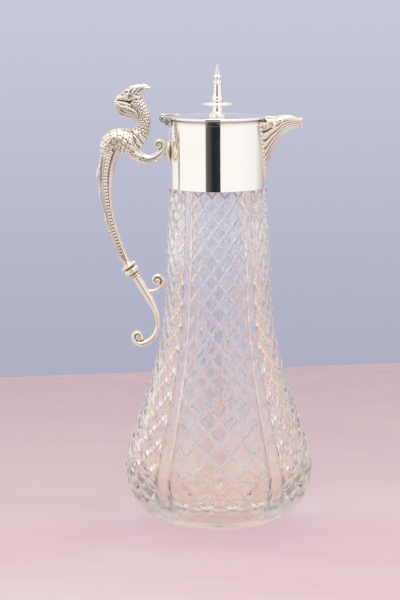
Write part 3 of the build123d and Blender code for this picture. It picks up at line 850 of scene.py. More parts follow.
def makeHinge():
    near, far = hinge["centre"] + hinge["gap"], hinge["earEnd"]
    ears = [barrel("earLeft", -far, -near, hinge["knuckle"], hinge["pin"]),
            barrel("earRight", near, far, hinge["knuckle"], hinge["pin"])]
    # web under the barrels and the strap that tapers down the collar
    sections = []
    strap = [(0.0, 1.6, hinge["earEnd"]), (-2.0, 1.7, hinge["earEnd"]), (-3.4, 1.5, 5.4), (-5.0, 1.2, 4.4),
             (-8.0, 1.0, 3.9), (-11.0, 1.0, 4.3), (-13.0, 0.9, 3.0), (-14.2, 0.5, 0.9)]
    for drop, stand, half in strap:
        z = rimTop - 1.4 + drop + 0.3
        ring = []
        for c, s in circle(24):
            y = half * c
            surface = math.sqrt(max(collarRadius ** 2 - y * y, 0.0))
            lift = stand * s ** 0.6 if s > 0 else -0.4
            if drop > -2.5:
                surface = rimRadius + 0.15
                lift = 3.4 * s ** 0.4 if s > 0 else 0.0
            ring.append((-surface - lift, y, z))
        sections.append(ring)
    strapPiece = slab("hingeStrap", sections)
    x, z = hinge["x"], hinge["z"]
    side = [(x - 2.3, z - 0.5), (x - 1.6, z - 1.8), (x - 0.3, z - 2.7), (-rimRadius + 0.6, z - 3.4),
            (-rimRadius + 0.1, z - 2.2), (-rimRadius - 0.4, z - 0.9), (x + 1.9, z - 0.2), (x, z)]
    webs = [slab("hingeWeb", [[(px, y, pz) for px, pz in side] for y in (low, high)])
            for low, high in ((3.35, 6.85), (-6.85, -3.35))]
    bracket = joinMeshes("hinge_bracket_filed", ears + [strapPiece] + webs)
    dress(bracket, castSilver, "jug", "hinge_bracket")

    leafSections = []
    for reach, half, low, high in ((0.0, 2.4, 0.9, 2.4), (2.0, 2.45, 0.9, 2.45), (4.2, 2.5, 1.35, 2.5),
                                   (6.0, 2.7, 1.35, 2.5), (7.6, 3.0, 1.35, 2.45), (9.0, 2.95, 1.35, 2.4),
                                   (10.4, 2.3, 1.35, 2.25), (11.3, 1.3, 1.35, 2.0), (11.8, 0.35, 1.4, 1.7)):
        middle, tall = (low + high) / 2, (high - low) / 2
        leafSections.append([(hinge["x"] + reach, half * c,
                              hinge["z"] + middle + tall * math.copysign(abs(s) ** 0.5, s))
                             for c, s in circle(24)])
    leaf = joinMeshes("lid_hinge_leaf_filed", [
        barrel("lidKnuckle", -hinge["centre"], hinge["centre"], hinge["knuckle"], hinge["pin"] + 0.05),
        slab("hingeLeaf", leafSections)])
    dress(leaf, castSilver, "lid", "lid_hinge_leaf")
    end, head, ear = hinge["pinEnd"], hinge["pinHead"], hinge["earEnd"]
    half = [(hinge["pin"], ear), (head, ear), (head, end - 0.4), (1.1, end), (0, end)]
    outline = [(radius, -y) for radius, y in reversed(half)] + half
    pin = turned("hinge_pin_headed", eased(outline, 0.15, 3, loop=False), loop=False, steps=40,
                 at=(hinge["x"], hinge["z"]), along="Y")
    dress(pin, platedBrass, "jug", "hinge_pin")


makeHinge()
print("hinge fitted")

# spout
spout = dict(
    # reach out of the collar, half width, rise of its top above the rim, depth
    stations=[(-6.7, 16.6, -3.0, 39.8), (0.0, 15.0, -2.4, 34.3), (3.9, 13.0, -0.9, 25.2),
              (7.7, 10.9, 0.2, 18.2), (11.5, 8.6, 1.1, 12.4), (15.7, 6.4, 1.4, 9.0),
              (19.7, 4.3, 0.6, 6.9), (23.9, 1.6, -2.3, 4.4)],
    flutes=8, fluteDepth=0.75, wall=1.2, lipTop=1.0, lipDepth=3.0, lobes=15,
)


def shieldPoint(share, half, drop):
    # across the pointed section, 0 at one top corner, 0.5 at the keel and 1 at the other corner
    side = 2 * share - 1
    lean = abs(side)
    y = half * math.copysign(min(1.0, lean ** 0.80), side)
    return y, -drop * (1 - lean ** 1.55) ** 0.92


def makeSpout():
    rows = through(spout["stations"], 8)
    count = spout["flutes"] * 2 * 8
    grooves = [1 - abs(math.sin(math.pi * k / count * spout["flutes"] * 2)) ** 0.75 for k in range(count + 1)]
    outerRings, innerRings = [], []
    for reach, half, rise, depth in rows:
        x = collarRadius + reach
        outer, inner = [], []
        crest = min(1.0, max(0.0, (23.9 - reach) / 14.0))
        for k in range(count + 1):
            share = k / count
            y, z = shieldPoint(share, half, depth)
            slip = spout["fluteDepth"] * grooves[k] * (0.25 + 0.75 * crest)
            shrink = 1 - slip / max(math.hypot(y, z * 0.5), 3.0)
            outer.append(Vector((x, y * shrink, rimTop + rise + z * shrink)) * mm)
            y, z = shieldPoint(share, max(half - spout["wall"], 0.4), max(depth - 1.3 * spout["wall"], 0.8))
            inner.append(Vector((x, y, rimTop + rise + z + 0.02)) * mm)
        outerRings.append(outer)
        innerRings.append(inner)
    points, faces = [point for ring in outerRings + innerRings for point in ring], []
    wide, long = count + 1, len(rows)
    for row in range(long - 1):
        for k in range(count):
            quad = (row * wide + k, row * wide + k + 1, (row + 1) * wide + k + 1, (row + 1) * wide + k)
            faces.append(quad)
            faces.append(tuple(q + long * wide for q in reversed(quad)))
        for k in (0, count):
            a, b = row * wide + k, (row + 1) * wide + k
            faces.append((a, b, b + long * wide, a + long * wide))
    for row in (0, long - 1):
        for k in range(count):
            a = row * wide + k
            faces.append((a, a + 1, a + 1 + long * wide, a + long * wide))
    shell = meshPiece("spout_shell_fluted", points, faces)
    # the flute grooves darken as patina; the inner surface is painted slightly darker, painted shade inside
    # the spout
    dark = [max(0.0, grooves[i % wide] * 1.5 - 0.35) if i < long * wide else 0.15 for i in range(len(points))]
    markPoints(shell, "recess", dark)
    seal(shell, crease=40.0)
    work = bmesh.new()
    work.from_mesh(shell.data)
    doomed = [v for v in work.verts if math.hypot(v.co.x, v.co.y) < (collarRadius - 1.5) * mm]
    bmesh.ops.delete(work, geom=doomed, context="VERTS")
    work.to_mesh(shell.data)
    work.free()
    return dress(shell, castSilver, "jug", "spout_shell")


def lipRun(side):
    # the thick smooth lip on one side, from the collar out to the hooked tip
    lift = spout["lipTop"] - spout["lipDepth"] / 2
    rings = []
    rows = through(spout["stations"][1:], 8)
    for i, (reach, half, rise, _) in enumerate(rows):
        before, after = rows[max(i - 1, 0)], rows[min(i + 1, len(rows) - 1)]
        tangent = Vector((after[0] - before[0], side * (after[1] - before[1]), after[2] - before[2]))
        tangent.normalize()
        outward = Vector((0, side, 0)) - tangent * tangent.y * side
        outward.normalize()
        up = tangent.cross(outward)
        if up.z < 0:
            up = -up
        centre = Vector((collarRadius + reach, side * (half - 0.3), rimTop + rise + lift))
        tall = spout["lipDepth"] / 2 * (1.1 - 0.30 * i / len(rows))
        stand = 1.35 * (1.0 - 0.15 * i / len(rows))
        if i == 0:
            rings.append([centre * mm])
        rings.append([(centre + outward * stand * c + up * tall * s) * mm for c, s in circle(20)])
    return rings + [[(centre + tangent * 0.6) * mm]]


def spoutScroll(reach, rise, side, radius, half):
    # small volute on the side of the lip, with a raised eye
    coil = []
    for n in range(12):
        turn, size = math.radians(-150 + 45 * n), radius * (1.0 - 0.055 * n)
        coil.append((-collarRadius * 2 - reach - size * math.cos(turn), rise + size * math.sin(turn),
                     0.42, 0.8))
    eye = ball(-collarRadius * 2 - reach, rise, side * (half + 0.3), 0.55, 1.0, 10)
    return [limb(coil, 12, 5, side * half), eye]


def makeLip():
    shells = [lipRun(-1), lipRun(1)]
    # hooked beak that joins the two runs and turns down over the tip
    beak = [(17.4, 4.5, 0.9), (19.9, 3.9, 0.4), (21.9, 2.9, -0.9), (23.2, 1.9, -2.7), (23.9, 1.1, -4.6),
            (23.9, 0.5, -6.2)]
    rings = []
    rows = through([(reach, rise, half, 1.0) for reach, half, rise in beak], 6)
    for i, (reach, rise, half, _) in enumerate(rows):
        before, after = rows[max(i - 1, 0)], rows[min(i + 1, len(rows) - 1)]
        tangent = Vector((after[0] - before[0], 0, after[1] - before[1])).normalized()
        up = Vector((-tangent.z, 0, tangent.x))
        centre = Vector((collarRadius + reach, 0, rimTop + rise + 0.1))
        thick = 1.15 - 0.45 * i / len(rows)
        if i == 0:
            rings.append([centre * mm])
        rings.append([(centre + Vector((0, half * c, 0)) + up * thick * s) * mm for c, s in circle(20)])
    shells.append(rings + [[(centre + tangent * 0.3) * mm]])
    for side in (-1, 1):
        shells += spoutScroll(-0.7, -3.6, side, 1.9, 15.0)
        shells.append(ball(-2 * collarRadius - 10.0, -0.4, side * 10.6, 1.5, 0.7, 14))
        # plain cartouche between the two scrolls
        shells.append(ball(-2 * collarRadius - 4.6, -2.6, side * 12.9, 2.3, 0.55, 16))
    cast("spout_lip_cast", shells, ["spout_lip"], 0.24, 8)


def borderLine(grow, stand):
    # the line of the border strip on the collar, from one top corner down to the tip and up again
    _, half, rise, depth = spout["stations"][1]
    line = []
    for k in range(61):
        y, z = shieldPoint(k / 60, half + grow, depth + grow * 1.3)
        turn = y / collarRadius
        radius = collarRadius + stand
        line.append(Vector((radius * math.cos(turn), radius * math.sin(turn), rimTop - 2.9 + z * 0.99)) * mm)
    return line


def ribbon(line, width, height):
    # a half-round moulding along a line on the collar
    rings = []
    for i, place in enumerate(line):
        tangent = (line[min(i + 1, len(line) - 1)] - line[max(i - 1, 0)]).normalized()
        out = Vector((place.x, place.y, 0)).normalized()
        across = tangent.cross(out).normalized()
        rings.append([place + (across * width * c + out * height * s) * mm for c, s in circle(12)])
    return [[line[0]], *rings, [line[-1]]]


def leafUnit():
    # one lobe of the border: a plump leaf with a midrib
    rings = [[Vector((-1.9, 0, 0.2)) * mm]]
    for x, half, tall in ((-1.7, 0.5, 0.5), (-1.1, 1.1, 0.95), (-0.2, 1.45, 1.2), (0.8, 1.2, 1.05),
                          (1.5, 0.6, 0.6)):
        ribs = [1 - 0.35 * abs(math.sin(math.pi * k / 5)) ** 8 for k in range(10)]
        rings.append([Vector((x, half * c, tall * s * rib)) * mm for (c, s), rib in zip(circle(10), ribs)])
    rings.append([Vector((1.9, 0, 0.2)) * mm])
    return seal(skinAll("leafUnit", [rings]))


rowTree = makeRowTree()


def makeBorder():
    strip = skinAll("borderStrip", [ribbon(borderLine(1.0, 0.3), 1.9, 0.75),
                                    ribbon(borderLine(2.5, 0.4), 0.45, 0.7),
                                    ribbon(borderLine(-0.5, 0.5), 0.5, 0.9)])
    path = pathCurve("borderPath", [borderLine(1.0, 0.9)])
    unit = leafUnit()
    lobes = runTree("borderLobes", rowTree, {
        "Path": path, "Unit": unit, "Count": spout["lobes"] * 2 - 1, "First Size": 0.9, "Last Size": 0.9,
        "Stand Out": (1.0, 1.0, 0.0), "Finish": castSilver})
    discard(path, unit)
    border = fuse(joinMeshes("spout_border_chased", [strip, lobes]), 0.26, 1)
    markRecess(border, 12.0)
    return dress(border, castSilver, "jug", "spout_border")


makeSpout()
makeLip()
makeBorder()
print("spout made")

# handle: (reach out of the collar, rise above the rim, half width, half depth)
handle = dict(
    bracket=[(0.0, -13.2, 0.9, 2.2), (1.0, -15.4, 1.7, 4.4), (1.6, -18.5, 1.9, 5.8), (1.8, -21.5, 1.7, 5.2),
             (1.3, -24.3, 1.5, 4.2), (0.6, -27.0, 0.8, 1.6)],
    arm=[(26.9, -18.2, 3.2, 3.8), (24.6, -20.6, 4.0, 4.3), (22.3, -22.7, 4.0, 4.2), (17.9, -24.9, 3.3, 3.8),
         (13.3, -25.5, 2.9, 3.6), (9.0, -24.0, 2.9, 3.4), (5.9, -21.4, 2.6, 3.3), (4.1, -18.2, 2.0, 3.1),
         (4.6, -15.0, 1.6, 3.0), (7.3, -13.7, 1.4, 2.9), (9.6, -15.0, 1.2, 2.8), (9.5, -17.2, 1.0, 2.7),
         (7.9, -17.6, 0.8, 2.6)],
    body=[(40.4, -24.5, 3.9, 3.8), (41.0, -20.5, 4.6, 4.8), (40.0, -16.6, 5.7, 6.0), (37.0, -14.0, 6.9, 6.9),
          (33.0, -13.2, 7.4, 7.3), (29.0, -13.9, 7.7, 7.4), (24.9, -15.4, 6.6, 6.5), (21.0, -16.4, 3.6, 3.8)],
    neck=[(25.5, -16.3, 5.2, 5.0), (22.3, -12.6, 5.4, 4.9), (19.6, -8.6, 5.0, 4.6), (17.5, -3.7, 4.3, 4.1),
          (17.1, 1.2, 4.0, 4.0), (18.2, 5.8, 4.0, 4.1), (21.0, 10.0, 4.2, 4.3), (24.0, 12.4, 4.2, 4.4)],
    head=[(19.8, 14.0, 3.3, 3.7), (22.6, 15.1, 4.5, 4.8), (25.8, 15.7, 4.6, 5.1), (29.1, 15.3, 3.7, 4.4),
          (31.6, 14.7, 2.4, 3.0), (33.6, 13.9, 1.5, 1.8), (34.9, 12.4, 0.6, 0.8)],
    jaw=[(25.2, 8.9, 1.7, 4.2), (27.6, 10.0, 2.0, 3.9), (30.4, 10.9, 1.6, 2.9), (33.2, 11.5, 1.2, 1.9),
         (35.4, 11.9, 0.8, 1.1), (36.2, 12.2, 0.4, 0.5)],
    ear=[(27.2, 15.6, 2.2, 1.6), (24.4, 17.6, 3.4, 2.1), (21.2, 19.3, 3.4, 2.1), (17.9, 20.4, 2.5, 1.8),
         (15.0, 20.6, 1.6, 1.2), (12.7, 20.2, 0.6, 0.6)],
    shaft=[(34.9, -14.5, 5.0, 4.6), (37.9, -20.6, 4.9, 4.5), (39.9, -26.7, 4.6, 4.3), (41.5, -35.7, 4.2, 4.1),
           (41.6, -46.7, 3.4, 3.9), (40.3, -58.7, 2.6, 3.7), (37.7, -70.7, 2.5, 3.5), (33.9, -82.7, 2.5, 3.3),
           (29.6, -94.2, 2.6, 3.1)],
    wing=[(42.6, -15.5, 0.6, 1.6), (44.0, -19.5, 0.8, 2.0), (45.4, -25.0, 0.8, 2.1), (46.2, -30.0, 0.9, 2.2),
          (47.2, -33.5, 1.3, 2.7), (47.3, -37.7, 1.2, 2.4), (46.5, -42.4, 0.5, 1.1)],
    rail=[(46.9, -40.5, 0.5, 1.2), (46.4, -46.0, 0.75, 1.3), (45.7, -51.7, 0.8, 1.4), (43.8, -59.7, 0.8, 1.4),
          (42.2, -65.2, 1.2, 2.2), (40.7, -70.0, 1.3, 2.3), (39.3, -74.4, 1.0, 1.8), (37.1, -81.2, 0.8, 1.4),
          (34.9, -87.2, 0.8, 1.4), (32.7, -92.6, 0.8, 1.4)],
    tail=[(24.4, -102.4, 2.8, 2.9), (22.6, -104.6, 2.9, 3.0), (19.5, -109.8, 3.0, 3.0),
          (16.0, -115.9, 2.8, 2.9), (12.5, -122.5, 2.2, 2.8), (10.3, -128.3, 1.8, 2.6),
          (9.5, -133.9, 1.5, 2.6), (10.0, -138.9, 1.6, 2.6), (12.2, -143.9, 1.9, 2.8),
          (16.2, -147.5, 2.2, 3.0), (20.6, -148.6, 2.2, 3.1), (24.4, -147.0, 1.8, 3.2),
          (25.9, -144.0, 1.5, 3.2), (24.9, -141.4, 1.3, 3.1), (22.4, -140.9, 1.1, 3.0),
          (20.5, -142.9, 1.0, 2.9), (20.9, -145.3, 0.9, 2.8), (22.7, -145.9, 0.8, 2.7)],
    branch=[(17.2, -112.9, 1.2, 2.2), (14.9, -113.1, 1.4, 2.4), (12.0, -112.9, 1.3, 2.4),
            (8.9, -111.7, 1.4, 2.4), (6.3, -109.0, 1.4, 2.5), (5.7, -105.6, 1.3, 2.6),
            (7.5, -102.9, 1.2, 2.7), (10.4, -102.7, 1.1, 2.7), (12.2, -104.9, 1.0, 2.6),
            (11.3, -107.1, 0.9, 2.5), (9.4, -106.8, 0.8, 2.5)],
    beadCount=33, beadFirst=1.24, beadLast=0.70,
    # reach and rise of the mane's outer line, and of its inner line beside the jaw
    maneOuter=[(35.6, 10.6), (34.4, 7.5), (32.9, 4.8), (30.4, 2.9), (27.4, 2.0), (24.2, 1.4), (22.0, -0.6)],
    maneInner=[(34.0, 10.6), (32.2, 9.4), (30.0, 8.6), (27.6, 7.8), (25.0, 7.0), (22.6, 5.6), (20.6, 3.2)],
)


def scales(rows, across, height, spare=0.0):
    # overlapping scales round a limb; each has a raised round edge
    def relief(share, turn):
        if share < spare or share > 1 - spare:
            return 0.0
        row = share * rows
        shift = 0.5 * (int(row) % 2)
        beside = ((turn * across / (2 * math.pi) + shift) % 1.0) * 2 - 1
        edge = (row % 1.0) + 0.45 * beside * beside
        return height * (1 - min(1.0, edge if edge < 1 else edge - 1)) * (1 - 0.35 * abs(beside) ** 3)
    return relief


def neckRelief(share, turn):
    # fine scales up the neck, and three slanting feather rings round its foot
    if share < 0.30:
        return 0.7 * abs(math.sin(math.pi * (3 * share / 0.30 + 0.35 * math.cos(turn)))) ** 0.6
    return scales(20, 13, 0.6)(share, turn)


def makeGriffin():
    shells = [limb(handle["body"], 56, 12, relief=scales(9, 14, 0.6, 0.12)),
              limb(handle["neck"], 56, 16, relief=neckRelief),
              limb(handle["head"], 40, 10), limb(handle["jaw"], 24, 8)]
    for side in (-1, 1):
        shells.append(limb(handle["ear"], 32, 9, side * 2.7, lean=side * 1.0,
                           relief=lambda share, turn: 0.4 * abs(math.sin(2.5 * turn + 7 * share)) - 0.3))
        # brow, eye and cheek
        shells.append(limb([(31.6, 16.6, 0.45, 0.6), (29.6, 18.2, 0.75, 1.0), (26.9, 19.0, 0.8, 1.0),
                            (24.4, 18.6, 0.4, 0.6)], 16, 5, side * 3.1))
        shells.append(ball(29.4, 16.7, side * 3.35, 1.15))
        shells.append(ball(26.4, 14.3, side * 3.7, 1.9, 0.7))
        shells.append(ball(32.6, 14.6, side * 1.9, 0.45, 1.0, 8))
        # mane: wavy locks that run from the chin down and back to the throat
        for n in range(4):
            share = n / 3
            lock = []
            places = zip(handle["maneOuter"], handle["maneInner"])
            for k, ((reach, rise), (inReach, inRise)) in enumerate(places):
                wave = 0.45 * math.sin(2.2 * k + 2.6 * n)
                thick = 0.74 * math.sin(math.pi * (0.12 + 0.76 * k / 6)) + 0.12
                lock.append((reach + (inReach - reach) * share + wave, rise + (inRise - rise) * share + wave,
                             thick, thick))
            shells.append(limb(lock, 14, 5, side * (0.9 + 3.6 * share ** 0.7), lean=side * 0.5))
        # folded wing over the shoulder
        for n in range(5):
            feather = [(38.5 - 1.6 * n, -9.4 - 0.9 * n, 0.7, 0.6), (34.5 - 1.2 * n, -9.0 - 1.4 * n, 1.1, 0.8),
                       (29.6 - 1.0 * n, -9.6 - 1.9 * n, 1.0, 0.7),
                       (25.0 - 0.6 * n, -11.4 - 1.9 * n, 0.35, 0.4)]
            shells.append(limb(feather, 12, 5, side * (4.7 + 0.55 * n)))
    # crest between the ears
    for n in range(5):
        plume = [(27.2 - 2.0 * n, 18.2 + 0.5 * n, 0.7, 0.7), (25.4 - 2.0 * n, 20.9 + 0.35 * n, 0.9, 0.8),
                 (22.6 - 2.0 * n, 21.8 + 0.1 * n, 0.35, 0.4)]
        shells.append(limb(plume, 12, 4))
    nodes = ["griffin_body", "griffin_neck", "griffin_head", "griffin_ears", "griffin_mane"]
    cast("griffin_cast", shells, nodes, 0.25, gain=18.0, reach=12)


def makeArm():
    shells = [limb(handle["arm"], 28, 7), ball(7.3, -16.3, 0.0, 2.9, 0.95)]
    for side in (-1, 1):
        for reach, rise, radius in ((25.1, -22.9, 1.75), (25.1, -18.4, 1.4), (17.6, -24.6, 1.0)):
            # eyelets: a raised ring round a dark hole
            for c, s in circle(10):
                shells.append(ball(reach + radius * c, rise + radius * s, side * 4.6, 0.62, 1.0, 8))
        shells.append(limb([(23.0, -24.2, 0.5, 0.5), (18.6, -26.3, 0.9, 0.7), (13.5, -27.4, 0.9, 0.7),
                            (9.0, -26.4, 0.5, 0.5)], 12, 5, side * 3.1))
    cast("handle_arm_cast", shells, ["handle_arm"], 0.28, gain=11.0)


def makeBracket():
    shells = [limb(handle["bracket"], 28, 8)]
    for side in (-1, 1):
        # veins of the leaf plate
        for n in range(4):
            vein = [(2.9, -15.4 - 2.2 * n, 0.5, 0.5), (2.7, -16.6 - 2.2 * n, 0.7, 0.6),
                    (1.3, -18.4 - 2.2 * n, 0.3, 0.3)]
            shells.append(limb(vein, 10, 4, side * 0.7, lean=side * (4.6 - 0.6 * n)))
    midrib = [(2.2, -14.4, 0.4, 0.5), (3.5, -18.4, 0.6, 0.7), (3.3, -22.4, 0.5, 0.6), (1.6, -26.4, 0.3, 0.4)]
    shells.append(limb(midrib, 12, 6))
    cast("handle_bracket_cast", shells, ["handle_bracket"], 0.3, gain=11.0)


def channelDepth(share, turn):
    # 1 along the middle of each flank, where the beads sit between two smooth rails
    flank = abs(math.cos(turn) - 0.22)
    ends = min(1.0, share / 0.12) * min(1.0, (1 - share) / 0.05)
    return max(0.0, 1 - (flank / 0.60) ** 6) * ends


def makeGrip():
    rings = limb(handle["shaft"], 72, 14, relief=lambda share, turn: -0.6 * channelDepth(share, turn))
    shaft = skinAll("handle_shaft_cast", [rings])
    dark = []
    for i, ring in enumerate(rings):
        share = (i - 1) / (len(rings) - 3)
        dark += [0.6 * channelDepth(share, 2 * math.pi * k / 72) if len(ring) > 1 else 0.0
                 for k in range(len(ring))]
    markPoints(shaft, "recess", dark)
    seal(shaft)
    dress(shaft, castSilver, "jug", "handle_shaft")

    # beads: round-cornered studs set into the channel
    rows = through(handle["shaft"], 14)[14:-8]
    lines = []
    for side in (-1, 1):
        lines.append([Vector((-collarRadius - reach - 0.2 * halfWidth, side * (halfDepth - 0.45),
                              rimTop + rise)) * mm for reach, rise, halfWidth, halfDepth in rows])
    path = pathCurve("beadPath", lines)
    unitRings, dark = [[Vector((0, 0, -0.9)) * mm]], [1.0]
    for z, swell, shade in ((-0.8, 1.0, 1.0), (0.1, 1.0, 1.0), (0.5, 0.90, 0.25), (0.85, 0.62, 0.0)):
        dark += [shade] * 16
        unitRings.append([Vector((1.02 * swell * math.copysign(abs(c) ** 0.6, c),
                                  1.5 * swell * math.copysign(abs(s) ** 0.6, s), z)) * mm
                          for c, s in circle(16)])
    unitRings.append([Vector((0, 0, 0.98)) * mm])
    unit = skinAll("beadUnit", [unitRings])
    markPoints(unit, "recess", dark + [0.0])
    seal(unit, crease=60.0)
    beads = runTree("handle_beading_row", rowTree, {
        "Path": path, "Unit": unit, "Count": handle["beadCount"],
        "First Size": handle["beadFirst"], "Last Size": handle["beadLast"],
        "Stand Out": (0.0, 1.0, 0.0), "Finish": castSilver})
    discard(path, unit)
    beads.data.shade_smooth()
    dress(beads, castSilver, "jug", "handle_beading")

    wing = [limb(handle["wing"], 28, 9)]
    for side in (-1, 1):
        wing.append(limb([(45.4, -28.6, 0.3, 0.4), (46.4, -32.4, 0.5, 0.6), (46.4, -37.4, 0.5, 0.6),
                          (46.4, -41.6, 0.3, 0.4)], 12, 6, side * 1.9))
    cast("wing_leaf_cast", wing, ["wing_leaf"])

    rail = [limb(handle["rail"], 24, 8)]
    for n in range(4):
        reach, rise = 42.6 - 0.75 * n, -63.8 - 2.6 * n
        rail.append(limb([(reach, rise, 0.4, 1.4), (reach + 0.9, rise - 1.5, 0.6, 2.0),
                          (reach + 0.3, rise - 3.0, 0.3, 0.9)], 14, 4))
    cast("outer_rail_cast", rail, ["outer_rail"])


def makeFerrule():
    start = Vector((-collarRadius - 29.6, 0, rimTop - 94.2))
    end = Vector((-collarRadius - 22.6, 0, rimTop - 104.6))
    axis = (end - start).normalized()
    across = Vector((axis.z, 0, -axis.x))
    outline = [(3.2, 0.0), (3.5, 0.8), (4.3, 1.2), (5.0, 1.7), (5.05, 2.5), (4.2, 3.0), (3.7, 3.6),
               (4.3, 4.3), (5.3, 5.2), (5.4, 6.1), (5.0, 7.1), (4.0, 7.9), (3.5, 8.5), (4.1, 9.0),
               (4.1, 9.7), (3.5, 10.1), (3.95, 10.7), (3.8, 11.6), (3.2, 12.2)]
    rings = [[(start + axis * -0.4) * mm]]
    for radius, along in outline:
        ring = []
        for k, (c, s) in enumerate(circle(72)):
            lobes = 0.35 * abs(math.sin(4 * (2 * math.pi * k / 72))) ** 0.7 if 3.8 < along < 7.6 else 0.0
            ring.append((start + axis * along + (across * c + Vector((0, 1, 0)) * s)
                         * (radius - 0.35 + lobes)) * mm)
        rings.append(ring)
    rings.append([(start + axis * 12.6) * mm])
    shells = [rings]
    for turn in (0, 45, 90, 135, 180, 225, 270, 315):
        nub = start + axis * 2.1 + (across * math.cos(math.radians(turn))
                                    + Vector((0, 1, 0)) * math.sin(math.radians(turn))) * 4.7
        shells.append(ball(-collarRadius - nub.x, nub.z - rimTop, nub.y, 0.95, 1.0, 10))
    cast("handle_ferrule_turned", shells, ["handle_ferrule"])


def makeTail():
    tail = [limb(handle["tail"], 28, 8), ball(22.4, -144.3, 0.0, 3.3, 0.85)]
    for side in (-1, 1):
        # a fine ridge along the spine
        tail.append(limb([(22.0, -106.8, 0.5, 0.5), (17.4, -113.9, 0.6, 0.6), (13.4, -121.2, 0.5, 0.5),
                          (10.2, -129.0, 0.35, 0.4)], 10, 6, side * 2.3))
    cast("tail_scroll_cast", tail, ["tail_scroll"], 0.28, gain=11.0)
    branch = [limb(handle["branch"], 24, 7), ball(9.4, -105.9, 0.0, 2.7, 0.92)]
    cast("tail_branch_cast", branch, ["tail_branch"], gain=11.0)


makeGriffin()
makeArm()
makeBracket()
makeGrip()
makeFerrule()
makeTail()
print("handle cast")

# nodes kept as they are
for name, finish in (("neck_plaster", plasterBed), ("finial_stud", platedBrass), ("finial_nut", platedBrass),
                     ("finial_washer", polishedSilver)):
    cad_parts[name].data.materials.clear()
    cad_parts[name].data.materials.append(finish)

# table, light and camera
studio = dict(
    tableBack=0.425, tableFront=-0.50, tableHalf=0.60,
    wallHigh=(0.565, 0.584, 0.687), wallLow=(0.395, 0.402, 0.520), ceiling=(1.0, 0.985, 0.97),
    cardRadius=1.35, cardLow=-0.10, cardHigh=1.10,
    lampSize=0.9, lampPower=5.0, lampPlace=(0.1, -0.15, 1.35), lampTurn=(6.0, 4.0),    # turn in degrees
    lens=91.26, cameraPlace=(-0.0110, -0.992, 0.331), cameraDip=0.18388, cameraRoll=0.33,  # dip in radians
    bounces=32, glossyBounces=8,
)


def makeTable():
    half, back, front = studio["tableHalf"], studio["tableBack"], studio["tableFront"]
    slant = 0.08
    outline = [(-half, front), (half, front), (half, back + slant), (-half, back - slant)]
    points = [Vector((x, y, z)) for z in (-0.0002, -0.02) for x, y in outline]
    faces = [(0, 1, 2, 3), (7, 6, 5, 4)] + [(k, k + 4, (k + 1) % 4 + 4, (k + 1) % 4) for k in range(4)]
    table = seal(meshPiece("table", points, faces))
    finish, tree, shader, place = startFinish("paleStone")
    drift = cloudy(tree, place, 3.2, 5.0, (0.7, 2.2, 1.0), 0.55)
    vein = cloudy(tree, place, 7.0, 8.0, (0.6, 1.8, 1.0), 0.62)
    body = blendColour(tree, ranged(tree, drift, 0.38, 0.66, 0.0, 1.0), (0.70, 0.575, 0.60),
                       (0.66, 0.47, 0.53))
    # painted shade: the table grows darker towards its back edge
    farShade = ranged(tree, splitUp(tree, place)[1], -0.22, 0.36, 0.0, 1.0)
    body = blendColour(tree, farShade, body, (0.46, 0.345, 0.405))
    thread = ranged(tree, calc(tree, "ABSOLUTE", calc(tree, "SUBTRACT", vein, 0.5)), 0.0, 0.02, 0.22, 0.0)
    paint(tree, shader, blendColour(tree, thread, body, (0.72, 0.45, 0.50)),
          ranged(tree, drift, 0.3, 0.7, 0.34, 0.46))
    bumped(tree, shader, cloudy(tree, place, 60.0, 6.0), 0.05, 0.3)
    table.data.materials.append(finish)


def lightCard(name, fromTurn, toTurn, colours, low, high, radius, inGlass=True, inMirror=True,
              onTable=True, topRadius=None):
    # a curved sheet of even light round the jug, not seen by the camera; degrees from the camera's side
    steps = 48
    points, faces, shades = [], [], []
    for k in range(steps + 1):
        turn = math.radians(-90 + fromTurn + (toTurn - fromTurn) * k / steps)
        along = k / steps * (len(colours) - 1)
        n = min(int(along), len(colours) - 2)
        shade = Vector(colours[n]).lerp(Vector(colours[n + 1]), along - n)
        for z, reach in ((low, radius), (high, topRadius or radius)):
            points.append(Vector((reach * math.cos(turn), reach * math.sin(turn), z)))
            shades.append((*shade, 1.0))
    for k in range(steps):
        faces.append((2 * k, 2 * k + 2, 2 * k + 3, 2 * k + 1))
    card = meshPiece(name, points, faces)
    glowing = card.data.attributes.new("glow", "FLOAT_COLOR", "POINT")
    for item, shade in zip(glowing.data, shades):
        item.color = shade
    finish = bpy.data.materials.new(name + "Glow")
    finish.use_nodes = True
    tree = finish.node_tree
    tree.nodes.clear()
    shade = put(tree, "ShaderNodeAttribute", attribute_name="glow").outputs["Color"]
    glow = put(tree, "ShaderNodeEmission", {"Color": shade, "Strength": 1.0})
    put(tree, "ShaderNodeOutputMaterial", {"Surface": glow.outputs[0]})
    card.data.materials.append(finish)
    card.visible_camera = False
    card.visible_transmission = inGlass
    card.visible_glossy = inMirror
    card.visible_diffuse = onTable
    card.visible_shadow = False


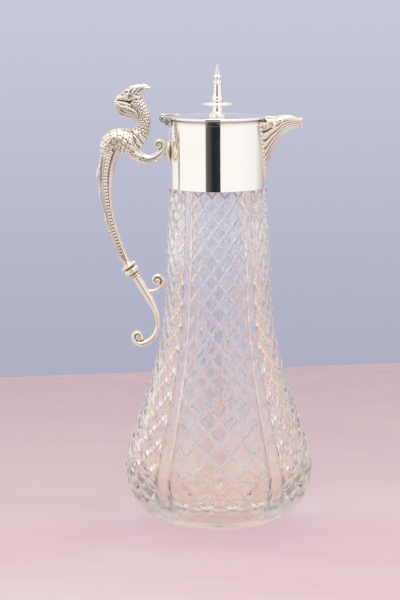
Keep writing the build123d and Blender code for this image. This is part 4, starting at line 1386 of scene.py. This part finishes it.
def makeStudio():
    low, high, radius = studio["cardLow"], studio["cardHigh"], studio["cardRadius"]
    white = (1.01, 0.995, 0.98)
    lightCard("rightCard", 6.0, 151.0, [white, white, (0.95, 0.92, 0.90), (0.42, 0.37, 0.36)],
              low, high, radius)
    lightCard("leftCard", -29.5, -147.0, [white, white, (1.0, 0.98, 0.96), (0.90, 0.86, 0.83)],
              low, high, radius)
    lightCard("darkGap", -31.5, 8.0, [(0.22, 0.175, 0.15), (0.10, 0.085, 0.08), (0.014, 0.018, 0.028),
                                       (0.022, 0.026, 0.036), (0.03, 0.033, 0.045)],
              -0.25, 1.10, radius + 0.1, inGlass=False)
    amber = [(0.92, 0.60, 0.41)] * 2
    lightCard("warmRight", 92.0, 130.0, amber, low - 0.1, 0.34, radius - 0.05, inMirror=False)
    lightCard("warmLeft", -92.0, -130.0, amber, low - 0.1, 0.34, radius - 0.05, inMirror=False)
    # a low reflector that lifts the undersides of the castings
    lightCard("lowFill", -180.0, 180.0, [(0.80, 0.73, 0.66)] * 2, 0.0008, 0.0008, 0.46, inGlass=False,
              onTable=False, topRadius=0.07)
    top = bpy.data.lights.new("topSoft", "AREA")
    top.shape = "DISK"
    top.size = studio["lampSize"]
    top.energy = studio["lampPower"]
    top.color = (1.0, 0.985, 0.97)
    lamp = addPiece("topSoft", top)
    lamp.location = studio["lampPlace"]
    lamp.rotation_euler = (*[math.radians(turn) for turn in studio["lampTurn"]], 0)

    # a lavender wall level with the jug, and a white ceiling
    world = bpy.data.worlds.new("wall")
    world.use_nodes = True
    tree = world.node_tree
    tree.nodes.clear()
    ray = put(tree, "ShaderNodeTexCoord").outputs["Generated"]
    lift = splitUp(tree, ray)[2]
    # painted shade: the wall darkens low down towards the table edge
    wall = blendColour(tree, ranged(tree, lift, -0.26, 0.0, 0.0, 1.0), studio["wallLow"], studio["wallHigh"])
    colour = blendColour(tree, ranged(tree, lift, 0.14, 0.40, 0.0, 1.0), wall, studio["ceiling"])
    ground = put(tree, "ShaderNodeBackground", {"Color": colour, "Strength": 1.0})
    put(tree, "ShaderNodeOutputWorld", {"Surface": ground.outputs[0]})
    scene.world = world
    scene.view_settings.view_transform = "Standard"


def makeCamera():
    lens = bpy.data.cameras.new("camera")
    lens.lens = studio["lens"]
    lens.sensor_width = 36.0
    lens.clip_start = 0.01
    lens.clip_end = 20.0
    camera = addPiece("camera", lens)
    camera.location = studio["cameraPlace"]
    camera.rotation_euler = (math.radians(90) - studio["cameraDip"], math.radians(studio["cameraRoll"]), 0)
    scene.camera = camera


makeTable()
makeStudio()
makeCamera()
scene.cycles.use_denoising = True
scene.cycles.max_bounces = studio["bounces"]
scene.cycles.transmission_bounces = studio["bounces"]
scene.cycles.glossy_bounces = studio["glossyBounces"]
print("studio set")
